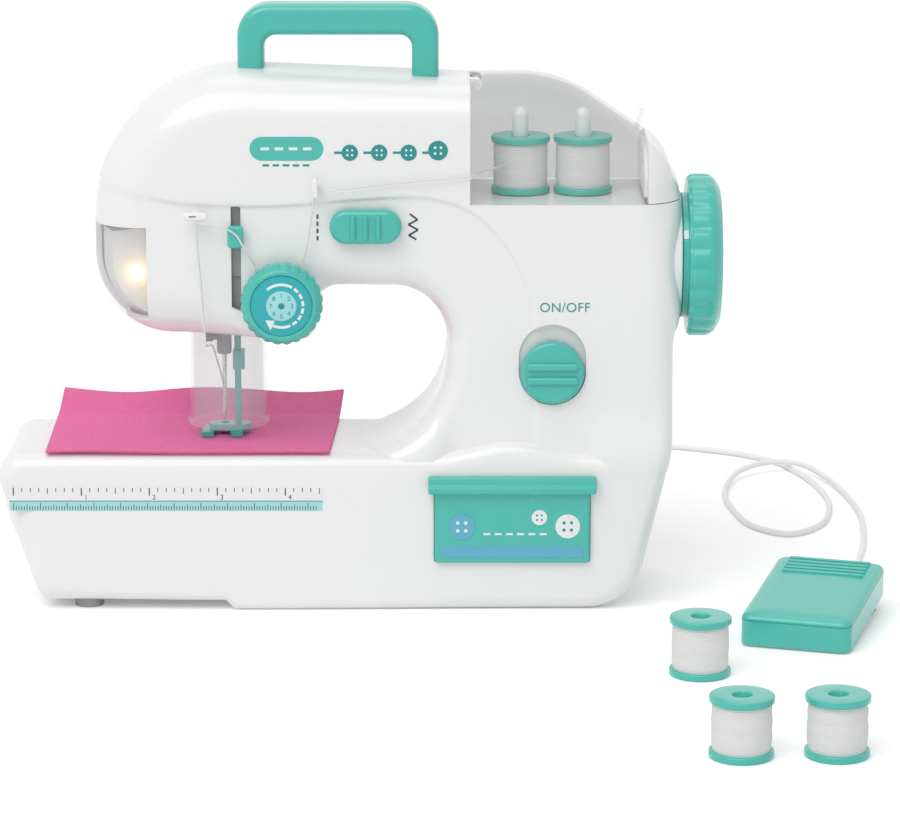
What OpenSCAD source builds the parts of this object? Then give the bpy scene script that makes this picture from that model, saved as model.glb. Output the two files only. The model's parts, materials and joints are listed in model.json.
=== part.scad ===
// Toy sewing machine with its foot pedal, thread spools and a sample of cloth
// Millimetres, +Z up, front towards -Y, origin on the table under the middle of the base

/* [Body] */
// Depth of the arm and pillar, front to back
body_d = 58; // [54:0.5:62]
// Depth of the base, front to back
base_d = 66; // [64:0.5:72]
// Wall of the shells
wall = 2.2; // [1.8:0.1:2.6]
// Height of the bed above the table
bed_z = 60; // [58:0.5:61]
// Height of the top at the head
top_z = 204.5; // [202:0.5:210]
// Reach of the head to the left of the origin
head_reach = 90.3; // [86:0.5:96]
// Reach of the base to the left of the origin
base_reach = 127.5; // [122:0.5:134]
// Reach of the pillar to the right of the origin
pillar_reach = 126.3; // [124:0.5:130]
// Height of the underside of the head
head_z = 102.5; // [101:0.5:103]
// Width of the pillar beside the throat
pillar_w = 84.6; // [82:0.5:90]
// Height of the throat
throat_z = 122; // [116:0.5:124]

/* [Handle] */
// Outer width of the carrying handle
handle_w = 74.8; // [66:0.2:80]
// Height of the handle above the top of the head
handle_h = 23; // [18:0.5:32]
// Width of the handle bar
handle_bar = 10; // [8:0.5:12]
// Depth of the handle bar
handle_d = 15; // [12:0.5:18]

/* [Drive] */
// Height of the main shaft
shaft_z = 130; // [129:0.5:131]
// Diameter of the main shaft
shaft_d = 6; // [5:0.1:6.5]
// Diameter of the handwheel
wheel_d = 61; // [52:0.5:70]
// Width of the handwheel
wheel_w = 13.2; // [10:0.2:18]
// Number of finger flutes round the handwheel
wheel_flutes = 24; // [16:2:30]
// Tooth size of the gear train, pitch diameter over teeth
gear_module = 1; // [0.9:0.02:1.04]
// Diameter of the motor can
motor_d = 20.4; // [16:0.2:22]
// Length of the motor can
motor_l = 32; // [24:0.5:36]
// Running radius of the two belt pulleys
pulley_r = 6.7; // [5:0.1:7]

/* [Needle and foot] */
// Place of the needle from the middle of the base
needle_x = -42.5; // [-43.5:0.1:-42]
// Diameter of the needle bar
needle_bar_d = 3.4; // [2.6:0.1:3.6]
// Throw of the crank that lifts the needle bar
crank_throw = 9; // [7:0.5:9]
// Diameter of the presser bar
presser_d = 2.6; // [2:0.1:2.8]
// Outer diameter of the clear guard tube
guard_d = 29.1; // [27.5:0.1:31]
// Wall of the guard tube
guard_wall = 1.3; // [0.9:0.1:1.6]

/* [Controls] */
// Diameter of the tension dial
dial_d = 30.6; // [26:0.2:31]
// Depth of the tension dial
dial_h = 9.5; // [8:0.5:14]
// Width of the stitch selector
selector_w = 26.5; // [22:0.5:30]
// Height of the stitch selector
selector_h = 12.8; // [10:0.2:15]
// Diameter of the power button
button_d = 23.6; // [20:0.2:25]
// Travel of the power button
button_travel = 5.6; // [3:0.2:6.2]

/* [Drawer] */
// Width of the drawer front
drawer_w = 58.1; // [52:0.2:59]
// Height of the drawer front
drawer_h = 27.4; // [24:0.2:28]
// Depth of the drawer tray
drawer_l = 46; // [36:0.5:50]
// Wall of the drawer and of its housing
drawer_wall = 1.6; // [1.2:0.1:2]

/* [Spools] */
// Diameter of the reel flanges
reel_d = 22; // [20:0.2:22.6]
// Height of a reel
reel_h = 21.4; // [19:0.2:25]
// Thickness of a reel flange
flange_t = 2.5; // [1.6:0.1:3]
// Diameter of the spool pins
pin_d = 6; // [5:0.1:6.6]
// Outer diameter of the wound thread
wound_d = 18.6; // [17:0.2:19]
// Loops of thread that show on a reel
wound_loops = 12; // [8:1:12]

/* [Pedal] */
// Width of the treadle
treadle_w = 41; // [36:0.5:48]
// Length of the treadle
treadle_l = 66; // [58:0.5:76]
// Height of the treadle at its hinged front
treadle_front = 12.5; // [11:0.2:15]
// Height of the treadle at its free rear
treadle_rear = 18; // [16.5:0.2:22]
// Diameter of the pedal cord
cord_d = 2.4; // [2:0.1:2.6]

/* [Fits] */
// Gap round a running bore, on the radius
run_gap = 0.06; // [0.04:0.01:0.1]
// Gap between pieces that slide past each other
slide_gap = 0.3; // [0.25:0.05:0.4]

/* [Hidden] */
$fn = 48;
eps = 0.05;

white = "white";
teal = "mediumturquoise";
steel = "silver";
clear = [0.85, 0.9, 0.92, 0.5];

// Planes that the outside and the inside of the shells share
face_y = body_d / 2;
inner_y = face_y - wall;
base_y = base_d / 2;
base_inner_y = base_y - wall;

// Raised underside at the left end of the base, carried by the feet
raised_z = 3.5;
step_x = pillar_reach - 164.3;

// Left face of the pillar, and the end of the head that faces it
throat_x = pillar_reach - pillar_w;
head_end = needle_x + 35.5;
throat_r = 0.41 * (throat_x - head_end);

// Outline of the arm, head and pillar: x, z, corner radius, rounding towards the front
arm_corners = [
    [pillar_reach - 26.3, 30, 0, 1],
    [pillar_reach, bed_z - 4, 0, 12],
    [pillar_reach, top_z - 35.5, 20, 14],
    [pillar_reach - 42.3, top_z - 6.2, 50, 16],
    [pillar_reach - 76.3, top_z - 6.7, 0, 16],
    [-head_reach, top_z, 56, 20],
    [-head_reach, head_z, 29, 20],
    [head_end, head_z, 6, 5],
    [head_end, throat_z, 0.45 * throat_r, 12],
    [throat_x, throat_z, throat_r, 11],
    [throat_x, bed_z - 0.4, 37, 9],
    [throat_x - 46, bed_z - 0.4, 0, 4],
    [throat_x - 46, 30, 0, 1]];

// Outline of the base, in the same form
base_corners = [
    [step_x, 0, 0, 3],
    [pillar_reach - 14.5, 0, 22, 6],
    [pillar_reach, bed_z, 5, 5],
    [-base_reach, bed_z, 9, 7],
    [4 - base_reach, 34, 40, 13],
    [17 - base_reach, raised_z, 6, 5],
    [step_x - raised_z, raised_z, 0, 3]];

// Rings that round an edge, and the turn that one facet of a corner takes
edge_rings = 4;
facet_turn = 18;

function unit(v) = v / norm(v);

// Points of one rounded corner b between its neighbours a and c, each with its edge rounding
function corner(a, b, c) =
    let(p = [b[0], b[1]], r = b[2],
        u = unit([a[0], a[1]] - p), w = unit([c[0], c[1]] - p),
        half = acos(u * w) / 2, turn = 180 - 2 * half,
        centre = p + unit(u + w) * r / sin(half),
        start = p + u * r / tan(half) - centre,
        way = cross(-u, w) > 0 ? 1 : -1,
        count = max(2, ceil(turn / facet_turn)))
    r == 0 ? [[p[0], p[1], b[3]]] :
    [for (i = [0 : count]) let(t = atan2(start[1], start[0]) + way * turn * i / count)
        [centre[0] + r * cos(t), centre[1] + r * sin(t), b[3]]];

// Whole outline from a list of corners
function outline(corners) =
    let(n = len(corners))
    [for (i = [0 : n - 1]) each corner(corners[(i + n - 1) % n], corners[i], corners[(i + 1) % n])];

// Outline moved inwards along its own normals by a depth that may differ from point to point
function moved_in(points, depth, share) =
    let(n = len(points))
    [for (i = [0 : n - 1])
        let(a = points[(i + n - 1) % n], b = points[i], c = points[(i + 1) % n],
            t0 = unit([b[0] - a[0], b[1] - a[1]]), t1 = unit([c[0] - b[0], c[1] - b[1]]),
            t = unit(t0 + t1), d = depth + share * max(b[2] - depth, 0.5))
        [b[0] - t[1] * d, b[1] + t[0] * d, b[2]]];

// Closed faces of a stack of rings with n points each
function ring_faces(n, rings) = concat(
    [[for (i = [0 : n - 1]) i]],
    [for (k = [0 : rings - 2], i = [0 : n - 1])
        each [[k * n + i, (k + 1) * n + i, k * n + (i + 1) % n],
              [k * n + (i + 1) % n, (k + 1) * n + i, (k + 1) * n + (i + 1) % n]]],
    [[for (i = [n - 1 : -1 : 0]) (rings - 1) * n + i]]);

// Front half of a body with its rounded front edge, moved in by a wall, from a plane y = seam
module half_body(corners, half_d, inset, seam) {
    points = outline(corners);
    n = len(points);
    rings = [for (k = [0 : edge_rings])
        let(turn = 90 * k / edge_rings, line = moved_in(points, inset, 1 - cos(turn)))
        [for (p = line) let(e = max(p[2] - inset, 0.5))
            [p[0], inset + e - half_d - e * sin(turn), p[1]]]];
    back = [for (p = moved_in(points, inset, 0)) [p[0], seam, p[1]]];
    polyhedron(concat(back, [for (r = rings) each r]), ring_faces(n, edge_rings + 2));
}

module front_outside(inset, seam) {
    half_body(arm_corners, face_y, inset, seam);
    half_body(base_corners, base_y, inset, seam);
}

// One moulded surface, joined before anything is drilled in it; zeros keep its size
module moulding() {
    resize([0, 0, 0]) children();
}

// Hollow front half of the body
module half_moulding() moulding() difference() {
    front_outside(0, 0);
    front_outside(wall, 0.5);
}

// Arm alone, whole depth, for pieces that follow its inside
module arm_core(inset) {
    half_body(arm_corners, face_y, inset, 0);
    mirror([0, 1, 0]) half_body(arm_corners, face_y, inset, 0);
}

// Bar along X, Y or Z between two ends
module bar_x(x0, x1, d) {
    translate([x0, 0, 0]) rotate([0, 90, 0]) cylinder(d = d, h = x1 - x0);
}

module bar_y(y0, y1, d) {
    translate([0, y1, 0]) rotate([90, 0, 0]) cylinder(d = d, h = y1 - y0);
}

module block(x0, x1, y0, y1, z0, z1) {
    translate([x0, y0, z0]) cube([x1 - x0, y1 - y0, z1 - z0]);
}

// Places of the needle mechanism, from the needle and the main shaft
presser_x = needle_x + 5.1;
guard_x = needle_x + 1.5;
rest_rise = 3;
yoke_z = shaft_z + rest_rise;
needle_rise = crank_throw - rest_rise;
needle_drop = crank_throw + rest_rise;
clamp_top = head_z - 1.5;
guide_z = head_z + 6;
slot_x = needle_x + 6.4;
slot_w = 3.6;
lever_z0 = yoke_z + 6;
lever_z1 = yoke_z + 12;
slot_z0 = lever_z0 - needle_drop - 14;
slot_z1 = lever_z1 + needle_rise + 2.4;
foot_z = bed_z + 1.3;
clasp_z = foot_z + 26;
plate_t = 1.2;

// Places of the drive: gears hang below the main shaft, the lower shaft lies under the bed
gear_x = pillar_reach - 32.8;
gear_w = 5;
drive_teeth = 32;
idler_teeth = 20;
pinion_teeth = 12;
idler_z = shaft_z - gear_module * (drive_teeth + idler_teeth) / 2;
pinion_z = idler_z - gear_module * (idler_teeth + pinion_teeth) / 2;
plate_x = gear_x - 3.5;
plate_w = 2.5;
bush_d = shaft_d + 4;
bush_flange = 1.5;
boss_d = 53;
boss_x = pillar_reach + 3;
boss_in = 6;
collar_d = 47;
collar_x = pillar_reach + 5.1;
wheel_x = collar_x + slide_gap + 0.2;
bracket_x = needle_x + 20.5;
crank_x = bracket_x - 6;
lower_y = 8;
lower_z = bed_z - 7.5;
lower_d = 4;
pulley_x = pillar_reach - 18.3;
pulley_w = 5;
belt_t = 1.5;
hanger_xs = [bracket_x + 2, pillar_reach - 26.3];
hanger_w = 4;

// Spool bay at the right of the top, its tray, hinge and pins
hinge_x = pillar_reach - 73.7;
hinge_z = top_z - 8.3;
hinge_d = 3;
barrel_d = 4.4;
bay_x = hinge_x - 2.2;
bay_z = 154;
tray_t = 2.2;
left_spool_x = pillar_reach - 56.9;
right_spool_x = pillar_reach - 33.5;
pin_top = bay_z + 32.2;

// Controls on the front face
dial_x = head_end - 12;
dial_z = 118.4;
dial_gap = 2.2;
stud_d = 4;
selector_x = throat_x - 29.8;
selector_z = 146.3;
selector_travel = 3;
button_x = pillar_reach - 45.2;
button_low = 78.5;
recess_d = button_d + 1.4;

// Drawer place in the base front
drawer_x = pillar_reach - 60.05 - drawer_w / 2;
drawer_z = 19.1;
lip_h = 5.8;
lip_over = 2.3;

// Battery bay under the base
bay_x1 = drawer_x - 13.2;
bay_x0 = bay_x1 - 54;
cell_d = 14.2;
cell_pitch = 14.7;
door_y = 22.6;

// Screw posts that join the two halves
arm_posts = [[32.3 - head_reach, top_z - 32.5], [pillar_reach - 96.3, top_z - 32.5],
    [26.3 - head_reach, head_z + 23.5], [pillar_reach - 68.3, top_z - 63.5]];
base_posts = [[15.5 - base_reach, bed_z - 20], [bay_x1 - 6, bed_z - 28], [pillar_reach - 22.3, 14]];
post_d = 8;
screw_d = 2.7;
screw_head_d = 5.4;
screw_head_y = 18;

// Lamp window at the left of the head
lens_x = 21 - head_reach;
lens_z0 = head_z + 6.5;
lens_z1 = head_z + 42.7;

module wheel_boss() {
    translate([0, 0, shaft_z]) bar_x(pillar_reach - boss_in, boss_x, boss_d);
}

module posts(y0, out, d) {
    for (p = arm_posts) translate([p[0], 0, p[1]]) bar_y(y0, inner_y + out, d);
    for (p = base_posts) translate([p[0], 0, p[1]]) bar_y(y0, base_inner_y + out, d);
}

// Openings that cross the seam, cut from both halves
module seam_cuts() {
    translate([guard_x, 0, head_z - 5]) cylinder(d = guard_d + 2 * slide_gap, h = wall + 8);
    translate([0, 0, shaft_z]) bar_x(pillar_reach - 10, collar_x + 1, bush_d);
    for (s = handle_xs()) block(s - handle_bar / 2, s + handle_bar / 2, -handle_d / 2, handle_d / 2,
        handle_foot, top_z + 5);
    block(bay_x, pillar_reach + 9, -base_y, base_y, bay_z, top_z + 9);
    plate_blank(0.2, bed_z - plate_t, bed_z + 5);
    block(needle_x - 13.5, needle_x + 12.5, -9, 9, bed_z - wall - 2, bed_z + 5);
    block(bay_x0, bay_x1, -door_y, door_y, -1, wall + 1);
}

module front_shell() color(white) difference() {
    union() {
        half_moulding();
        intersection() {
            wheel_boss();
            block(pillar_reach - 8, collar_x + 2, -base_y, 0, 0, top_z);
        }
        mirror([0, 1, 0]) posts(0, 0.5, post_d);
    }
    seam_cuts();
    mirror([0, 1, 0]) posts(-1, -10, screw_d + 0.1);
    block(slot_x - slot_w / 2, slot_x + slot_w / 2, -face_y - 1, -inner_y + 1, slot_z0, slot_z1);
    translate([dial_x, 0, dial_z]) bar_y(-face_y - 1, -inner_y + 1, stud_d);
    translate([selector_x, 0, selector_z])
        block(-4 - selector_travel, 4 + selector_travel, -face_y - 1, -inner_y + 1, -1.8, 1.8);
    button_slot(recess_d, -face_y - 1, -inner_y + 1);
    block(drawer_x - slide_gap, drawer_x + drawer_w + slide_gap, -base_y - 1, -base_inner_y + 1,
        drawer_z - slide_gap, drawer_z + drawer_h + slide_gap);
    block(-head_reach - 9, lens_x, -face_y - 1, 1, lens_z0, lens_z1);
    for (g = guide_places) translate([g[0], 0, g[1]]) bar_y(-face_y - 1, -inner_y + 1, guide_peg);
}

module rear_shell() color(white) difference() {
    union() {
        mirror([0, 1, 0]) half_moulding();
        intersection() {
            wheel_boss();
            block(pillar_reach - 8, collar_x + 2, 0, base_y, 0, top_z);
        }
        posts(0, 0.5, post_d);
        for (x = hanger_xs) block(x, x + hanger_w, lower_y - 4, base_inner_y + 0.5, lower_z - 4, lower_z + 4);
    }
    seam_cuts();
    posts(-1, 5, screw_d + 0.3);
    for (p = concat(arm_posts, base_posts)) translate([p[0], 0, p[1]])
        bar_y(screw_head_y, base_y + 1, screw_head_d + 0.6);
    translate([0, lower_y, lower_z])
        bar_x(hanger_xs[0] - 1, hanger_xs[1] + hanger_w + 1, lower_d + 2 * run_gap);
    translate([grommet_x, 0, grommet_z]) bar_y(base_inner_y - 1, base_y + 1, grommet_d);
}

// Round-ended slot that the power button slides in
module button_slot(d, y0, y1) {
    translate([button_x, 0, button_low + d / 2]) {
        bar_y(y0, y1, d);
        translate([0, 0, button_travel]) bar_y(y0, y1, d);
        block(-d / 2, d / 2, y0, y1, 0, button_travel);
    }
}

module case_screws() color(steel) {
    for (p = concat(arm_posts, base_posts)) translate([p[0], 0, p[1]]) {
        bar_y(-9, screw_head_y, screw_d);
        bar_y(screw_head_y, screw_head_y + 2.4, screw_head_d);
    }
}

// Carrying handle: a rounded arch whose legs stand in the seam
handle_x = bay_x - 49;
handle_top = top_z - 2.2 + handle_h;
handle_foot = top_z - 11;
function handle_xs() = [handle_x - handle_w / 2 + handle_bar / 2, handle_x + handle_w / 2 - handle_bar / 2];

module handle_arch(w, top, r) {
    translate([handle_x, 0]) {
        translate([-w / 2, handle_foot]) square([w, top - r - handle_foot]);
        translate([r - w / 2, top - r - eps]) square([w - 2 * r, r + eps]);
        for (s = [-1, 1]) translate([s * (w / 2 - r), top - r]) circle(r);
    }
}

module handle() color(teal) translate([0, handle_d / 2, 0]) rotate([90, 0, 0])
    linear_extrude(handle_d) difference() {
        handle_arch(handle_w, handle_top, 11);
        translate([0, -1]) handle_arch(handle_w - 2 * handle_bar, handle_top - handle_bar - 1.5, 5);
    }

module plate_blank(out, z0, z1) {
    block(needle_x - 19.3 - out, needle_x + 20.3 + out, -15.8 - out, 15.8 + out, z0, z1);
}

module needle_plate() color(steel) difference() {
    plate_blank(0, bed_z - plate_t, bed_z);
    translate([needle_x, 0, bed_z - 5]) cylinder(d = 3, h = 9);
    for (x = feed_xs) block(x - 1 - slide_gap, x + 1 + slide_gap,
        -feed_y - feed_travel - slide_gap, feed_y + feed_travel + slide_gap, bed_z - 5, bed_z + 5);
}

// Toothed bars of the feed, joined under the needle plate
feed_xs = [needle_x - 4.6, needle_x + 4.6];
feed_travel = 2;
feed_y = 6.4;

module feed_dog() color(steel) {
    for (x = feed_xs) difference() {
        block(x - 1, x + 1, -feed_y, feed_y, bed_z - 4, bed_z);
        for (i = [0 : 3]) block(x - 2, x + 2, 3.2 * i - 5.6, 3.2 * i - 4, bed_z - 0.8, bed_z + 1);
    }
    difference() {
        block(feed_xs[0] - 1, feed_xs[1] + 1, -feed_y, feed_y, bed_z - 5, bed_z - 3);
        translate([needle_x, 0, bed_z - 9]) cylinder(d = 7, h = 9);
    }
}

module presser_bar() color(teal) translate([presser_x, 0, 0]) {
    translate([0, 0, clasp_z]) cylinder(d = presser_d, h = yoke_z + 8 - clasp_z);
    translate([0, 0, spring_z0 - 1.5]) cylinder(d = presser_d + 1, h = 1.5);
}

spring_z0 = guide_z + 11;
spring_z1 = yoke_z;

module presser_spring() color(steel) translate([presser_x, 0, spring_z0]) difference() {
    cylinder(d = presser_d + 1.2, h = spring_z1 - spring_z0);
    translate([0, 0, -1]) cylinder(d = presser_d + 0.3, h = spring_z1 - spring_z0 + 2);
}

module presser_foot() color(teal) {
    difference() {
        block(presser_x - presser_d / 2 - 0.5, presser_x + 2.6, -3, 3, clasp_z - 1, clasp_z + 6);
        translate([presser_x, 0, clasp_z]) cylinder(d = presser_d, h = 9);
    }
    block(presser_x - 1.2, presser_x + 1.2, -1.5, 1.5, foot_z + 3, clasp_z - 0.5);
    difference() {
        union() {
            translate([needle_x + 2, 0, foot_z + 1.4]) linear_extrude(2.4) {
                square([8, 8], center = true);
                for (s = [-1, 1]) translate([4 * s, 0]) circle(4);
            }
            for (s = [-6.2, 4.8]) block(needle_x + s - 2.2, needle_x + s + 2.2, -8, 2, foot_z, foot_z + 2);
        }
        translate([needle_x, 0, foot_z - 1]) cylinder(d = 3.4, h = 9);
    }
}

module needle_bar() color(steel) difference() {
    union() {
        translate([needle_x, 0, clamp_top - 3]) cylinder(d = needle_bar_d, h = yoke_z + 36 - clamp_top + 3);
        block(needle_x - 2.5, needle_x + needle_bar_d / 2 + 0.7, -10, 3, yoke_z + 4, yoke_z + 13);
        block(needle_x - 2.5, yoke_x + 2.5, -10, -5, yoke_z + 4, yoke_z + 13);
        block(yoke_x, yoke_x + 2.5, -13, 13, yoke_z - 6, lever_z0 - 0.5);
    }
    translate([0, 0, yoke_z]) block(yoke_x - 1, yoke_x + 4, -11.3, 11.3,
        -crank_pin_d / 2 - slide_gap, crank_pin_d / 2 + slide_gap);
}

yoke_x = needle_x + 7.1;
crank_pin_d = 4;
crank_disc_w = 4;

module crank_disc() color(steel) difference() {
    translate([0, 0, shaft_z]) {
        bar_x(crank_x, crank_x + crank_disc_w, 2 * crank_throw + 6);
        translate([0, -sqrt(crank_throw * crank_throw - rest_rise * rest_rise), rest_rise])
            bar_x(yoke_x + 2.5 + slide_gap + 0.1, crank_x + eps, crank_pin_d);
    }
    translate([0, 0, shaft_z]) bar_x(crank_x - 1, crank_x + 9, shaft_d);
}

module needle_clamp() color(steel) difference() {
    union() {
        translate([needle_x, 0, clamp_top - 9]) cylinder(d = 5.6, h = 9);
        translate([0, 0, clamp_top - 2.6]) bar_x(needle_x - 7, needle_x - 2.4, 4.4);
    }
    translate([needle_x, 0, clamp_top - 3]) cylinder(d = needle_bar_d, h = 9);
    translate([needle_x, 0, clamp_top - 10]) cylinder(d = needle_d, h = 9);
}

needle_d = 1.6;
needle_tip = bed_z + 6;

module needle() color(steel) translate([needle_x, 0, 0]) {
    translate([0, 0, needle_tip + 4]) cylinder(d = needle_d, h = clamp_top - 3 - needle_tip - 4);
    translate([0, 0, needle_tip]) cylinder(d1 = 0.4, d2 = needle_d, h = 4);
}

module take_up_lever() color(teal) {
    block(slot_x - slot_w / 2 + 0.2, slot_x + slot_w / 2 - 0.2, -face_y - 1.2, -10, lever_z0, lever_z1);
    block(slot_x - 2.9, slot_x + 2.9, -face_y - 3.6, -face_y - 0.6, lever_z0 - 0.6, lever_z1 + 1.7);
}

module needle_guard() color(clear) translate([guard_x, 0, 0]) difference() {
    union() {
        translate([0, 0, bed_z + 5.5]) cylinder(d = guard_d, h = head_z + wall + 1.8 - bed_z - 5.5);
        translate([0, 0, bed_z + 5.5]) cylinder(d = guard_d + 1.7, h = 2);
        translate([0, 0, head_z + wall]) cylinder(d = guard_d + 4, h = 1.8);
    }
    translate([0, 0, bed_z + 4]) cylinder(d = guard_d - 2 * guard_wall, h = head_z);
    block(-7, -3, -guard_d, 0, head_z - 9, head_z - 0.5);
}

module lamp_lens() color(clear) moulding() intersection() {
    difference() {
        half_body(arm_corners, face_y, 0, -0.3);
        half_body(arm_corners, face_y, wall, 0.5);
    }
    block(-head_reach - 5, lens_x - 0.2, -face_y - 1, 1, lens_z0 + 0.2, lens_z1 - 0.2);
}

led_z = (lens_z0 + lens_z1) / 2;

module lamp_led() color("lightyellow") translate([lens_x - 4, -face_y + wall + 5.6, led_z]) {
    rotate([90, 0, 0]) cylinder(d = 5, h = 4);
    rotate([-90, 0, 0]) cylinder(d = 6.2, h = 1.6);
    block(-3, 5, 1.5, 3.1, -6, 6);
}

// Thread guides on the head front: a loop and a hook on pegs through the face
guide_places = [[head_end + 0.5, 160.9], [needle_x - 8.3, 150.4]];
guide_peg = 2.6;

module thread_guides() color(white) {
    for (g = guide_places) translate([g[0], 0, g[1]]) bar_y(-face_y - 3.4, -inner_y, guide_peg);
    translate([guide_places[0][0], -face_y - 3.4, guide_places[0][1]]) block(-1.1, 1.1, -1.2, 0, -3.6, 3.6);
    translate([guide_places[1][0], -face_y - 3.4, guide_places[1][1]]) block(-4.5, 4.5, -1.2, 0, -1.4, 1.4);
}

module tension_stud() color(steel) translate([dial_x, 0, dial_z]) {
    bar_y(-face_y - dial_gap - dial_h + 2.5, -inner_y + 3, stud_d);
    bar_y(-inner_y + 1, -inner_y + 3, stud_d + 3);
    bar_y(-face_y - 1.4, -face_y, 13);
}

dial_grips = 24;

module tension_dial() color(teal) translate([dial_x, -face_y - dial_gap, dial_z]) rotate([90, 0, 0])
    difference() {
        union() {
            cylinder(d = dial_d, h = dial_h - 2);
            cylinder(d = dial_d - 6, h = dial_h);
        }
        for (i = [0 : dial_grips - 1]) rotate(360 * (i + 0.5) / dial_grips)
            translate([dial_d / 2 + 0.6, 0, -1]) cylinder(d = 3, h = dial_h + 2);
        translate([0, 0, -1]) cylinder(d = stud_d + 2 * run_gap, h = dial_h - 1.3);
    }

module stitch_selector() color(teal) translate([selector_x, 0, selector_z]) {
    translate([0, -face_y - slide_gap, 0]) rotate([90, 0, 0]) {
        linear_extrude(3) selector_oval(0);
        linear_extrude(4.2) selector_oval(1.6);
    }
    for (i = [-1, 0, 1]) block(4.6 * i - 1, 4.6 * i + 1, -face_y - slide_gap - 5.4, -face_y - 4, -4.2, 4.2);
    block(-3.6, 3.6, -face_y - 1, -inner_y + slide_gap, -1.5, 1.5);
    block(-5, 5, -inner_y + slide_gap, -inner_y + 2, -4, 4);
}

module selector_oval(inset) {
    r = selector_h / 2 - inset;
    square([selector_w - selector_h, 2 * r], center = true);
    for (s = [-1, 1]) translate([s * (selector_w - selector_h) / 2, 0]) circle(r);
}

module power_button() color(teal) translate([button_x, 0, button_low + recess_d / 2]) {
    bar_y(-face_y - 2.6, -face_y + 1.2, button_d);
    for (z = [-3.2, 3.2]) block(-8.6, 8.6, -face_y - 4.4, -face_y - 2, z - 1.1, z + 1.1);
}

module switch_body() color("whitesmoke") {
    translate([button_x, 0, button_low + recess_d / 2]) {
        block(-button_d / 2 - 4, button_d / 2 + 4, -inner_y, -inner_y + 1.6, -recess_d / 2 - 3,
            recess_d / 2 + button_travel + 3);
        block(-9, 9, -inner_y + 1.6, -inner_y + 11, -10, 14);
    }
}

module drawer() color(teal) {
    x1 = drawer_x + drawer_w;
    block(drawer_x, x1, -base_y - 2.2, -base_y + 0.6, drawer_z, drawer_z + drawer_h);
    block(drawer_x - lip_over, x1 + lip_over, -base_y - 4.6, -base_y - slide_gap, drawer_z + drawer_h - eps,
        drawer_z + drawer_h + lip_h);
    difference() {
        block(drawer_x + 1, x1 - 1, -base_y, drawer_l - base_y, drawer_z + 0.5, drawer_z + drawer_h - 2);
        block(drawer_x + 1 + drawer_wall, x1 - 1 - drawer_wall,
            -base_y + drawer_wall, drawer_l - base_y - drawer_wall, drawer_z + 0.5 + drawer_wall, bed_z);
    }
}

module drawer_housing() color("whitesmoke") {
    x0 = drawer_x + 1 - slide_gap;
    x1 = drawer_x + drawer_w - 1 + slide_gap;
    z0 = drawer_z + 0.5 - slide_gap;
    z1 = drawer_z + drawer_h - 2 + slide_gap;
    y1 = drawer_l - base_y + slide_gap;
    difference() {
        block(x0 - drawer_wall, x1 + drawer_wall, -base_inner_y, y1 + drawer_wall,
            z0 - drawer_wall, z1 + drawer_wall);
        block(x0, x1, -base_y, y1, z0, z1);
    }
}

module spool_tray() color(white) {
    moulding() intersection() {
        union() {
            block(bay_x - 2, pillar_reach - boss_in - slide_gap, -face_y, face_y, bay_z - tray_t, bay_z);
            block(bay_x - 2, bay_x - 0.2, -face_y, face_y, bay_z - tray_t, top_z);
        }
        arm_core(wall + slide_gap);
    }
    for (x = [left_spool_x, right_spool_x]) translate([x, 0, bay_z - eps]) {
        cylinder(d = pin_d, h = pin_top - bay_z - pin_d / 2);
        translate([0, 0, pin_top - bay_z - pin_d / 2]) sphere(d = pin_d);
    }
    difference() {
        for (s = [-1, 1]) translate([0, s * ear_y, 0]) {
            block(bay_x - 1, hinge_x, -ear_w / 2, ear_w / 2, hinge_z - barrel_d / 2, hinge_z + barrel_d / 2);
            translate([hinge_x, 0, hinge_z]) bar_y(-ear_w / 2, ear_w / 2, barrel_d);
        }
        translate([hinge_x, 0, hinge_z]) bar_y(-base_y, base_y, hinge_d);
    }
}

// Hinge ears of the tray and barrels of the cover, side by side along the pin
ear_y = 9;
ear_w = 3.6;
barrel_w = 4;
cover_t = 1.8;

module cover_pin() color(steel) translate([hinge_x, 0, hinge_z])
    bar_y(-ear_y - ear_w / 2, ear_y + ear_w / 2, hinge_d);

module spool_cover() color(clear) difference() {
    union() {
        moulding() intersection() {
            difference() {
                arm_core(0);
                arm_core(cover_t);
            }
            block(bay_x + slide_gap, pillar_reach + 5, -base_y, base_y, bay_z + slide_gap, top_z + 5);
        }
        for (s = [-1, 1]) translate([hinge_x, s * (ear_y - ear_w / 2 - barrel_w / 2 - slide_gap), hinge_z]) {
            bar_y(-barrel_w / 2, barrel_w / 2, barrel_d);
            block(0, 4, -barrel_w / 2, barrel_w / 2, -1, 1.2);
        }
        block(pillar_reach - 7.4, pillar_reach - 4.2, -7, 7, top_z - 33, top_z - 25);
    }
    block(bay_x - 1, hinge_x - 1.2, -base_y, base_y, hinge_z - 4, top_z + 9);
    for (s = [-1, 1]) translate([0, s * ear_y, 0])
        block(bay_x - 1, hinge_x + 2.8, -ear_w / 2 - slide_gap, ear_w / 2 + slide_gap,
            hinge_z - 4, top_z + 9);
    translate([hinge_x, 0, hinge_z]) bar_y(-base_y, base_y, hinge_d + 2 * run_gap);
    block(bay_x - 1, bay_x + 2.5, -base_y, -face_y + 6, notch_z - 2, notch_z + 2);
}

// Height at which the thread leaves the spool bay through a notch in the cover
notch_z = 165;

// Reel with a running bore, standing on z = 0; its barrel is the core of the wound thread
module reel() difference() {
    union() {
        cylinder(d = wound_core_d, h = reel_h);
        for (z = [0, reel_h - flange_t]) translate([0, 0, z]) cylinder(d = reel_d, h = flange_t);
    }
    translate([0, 0, -1]) cylinder(d = pin_d + 0.5, h = reel_h + 2);
}

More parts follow.
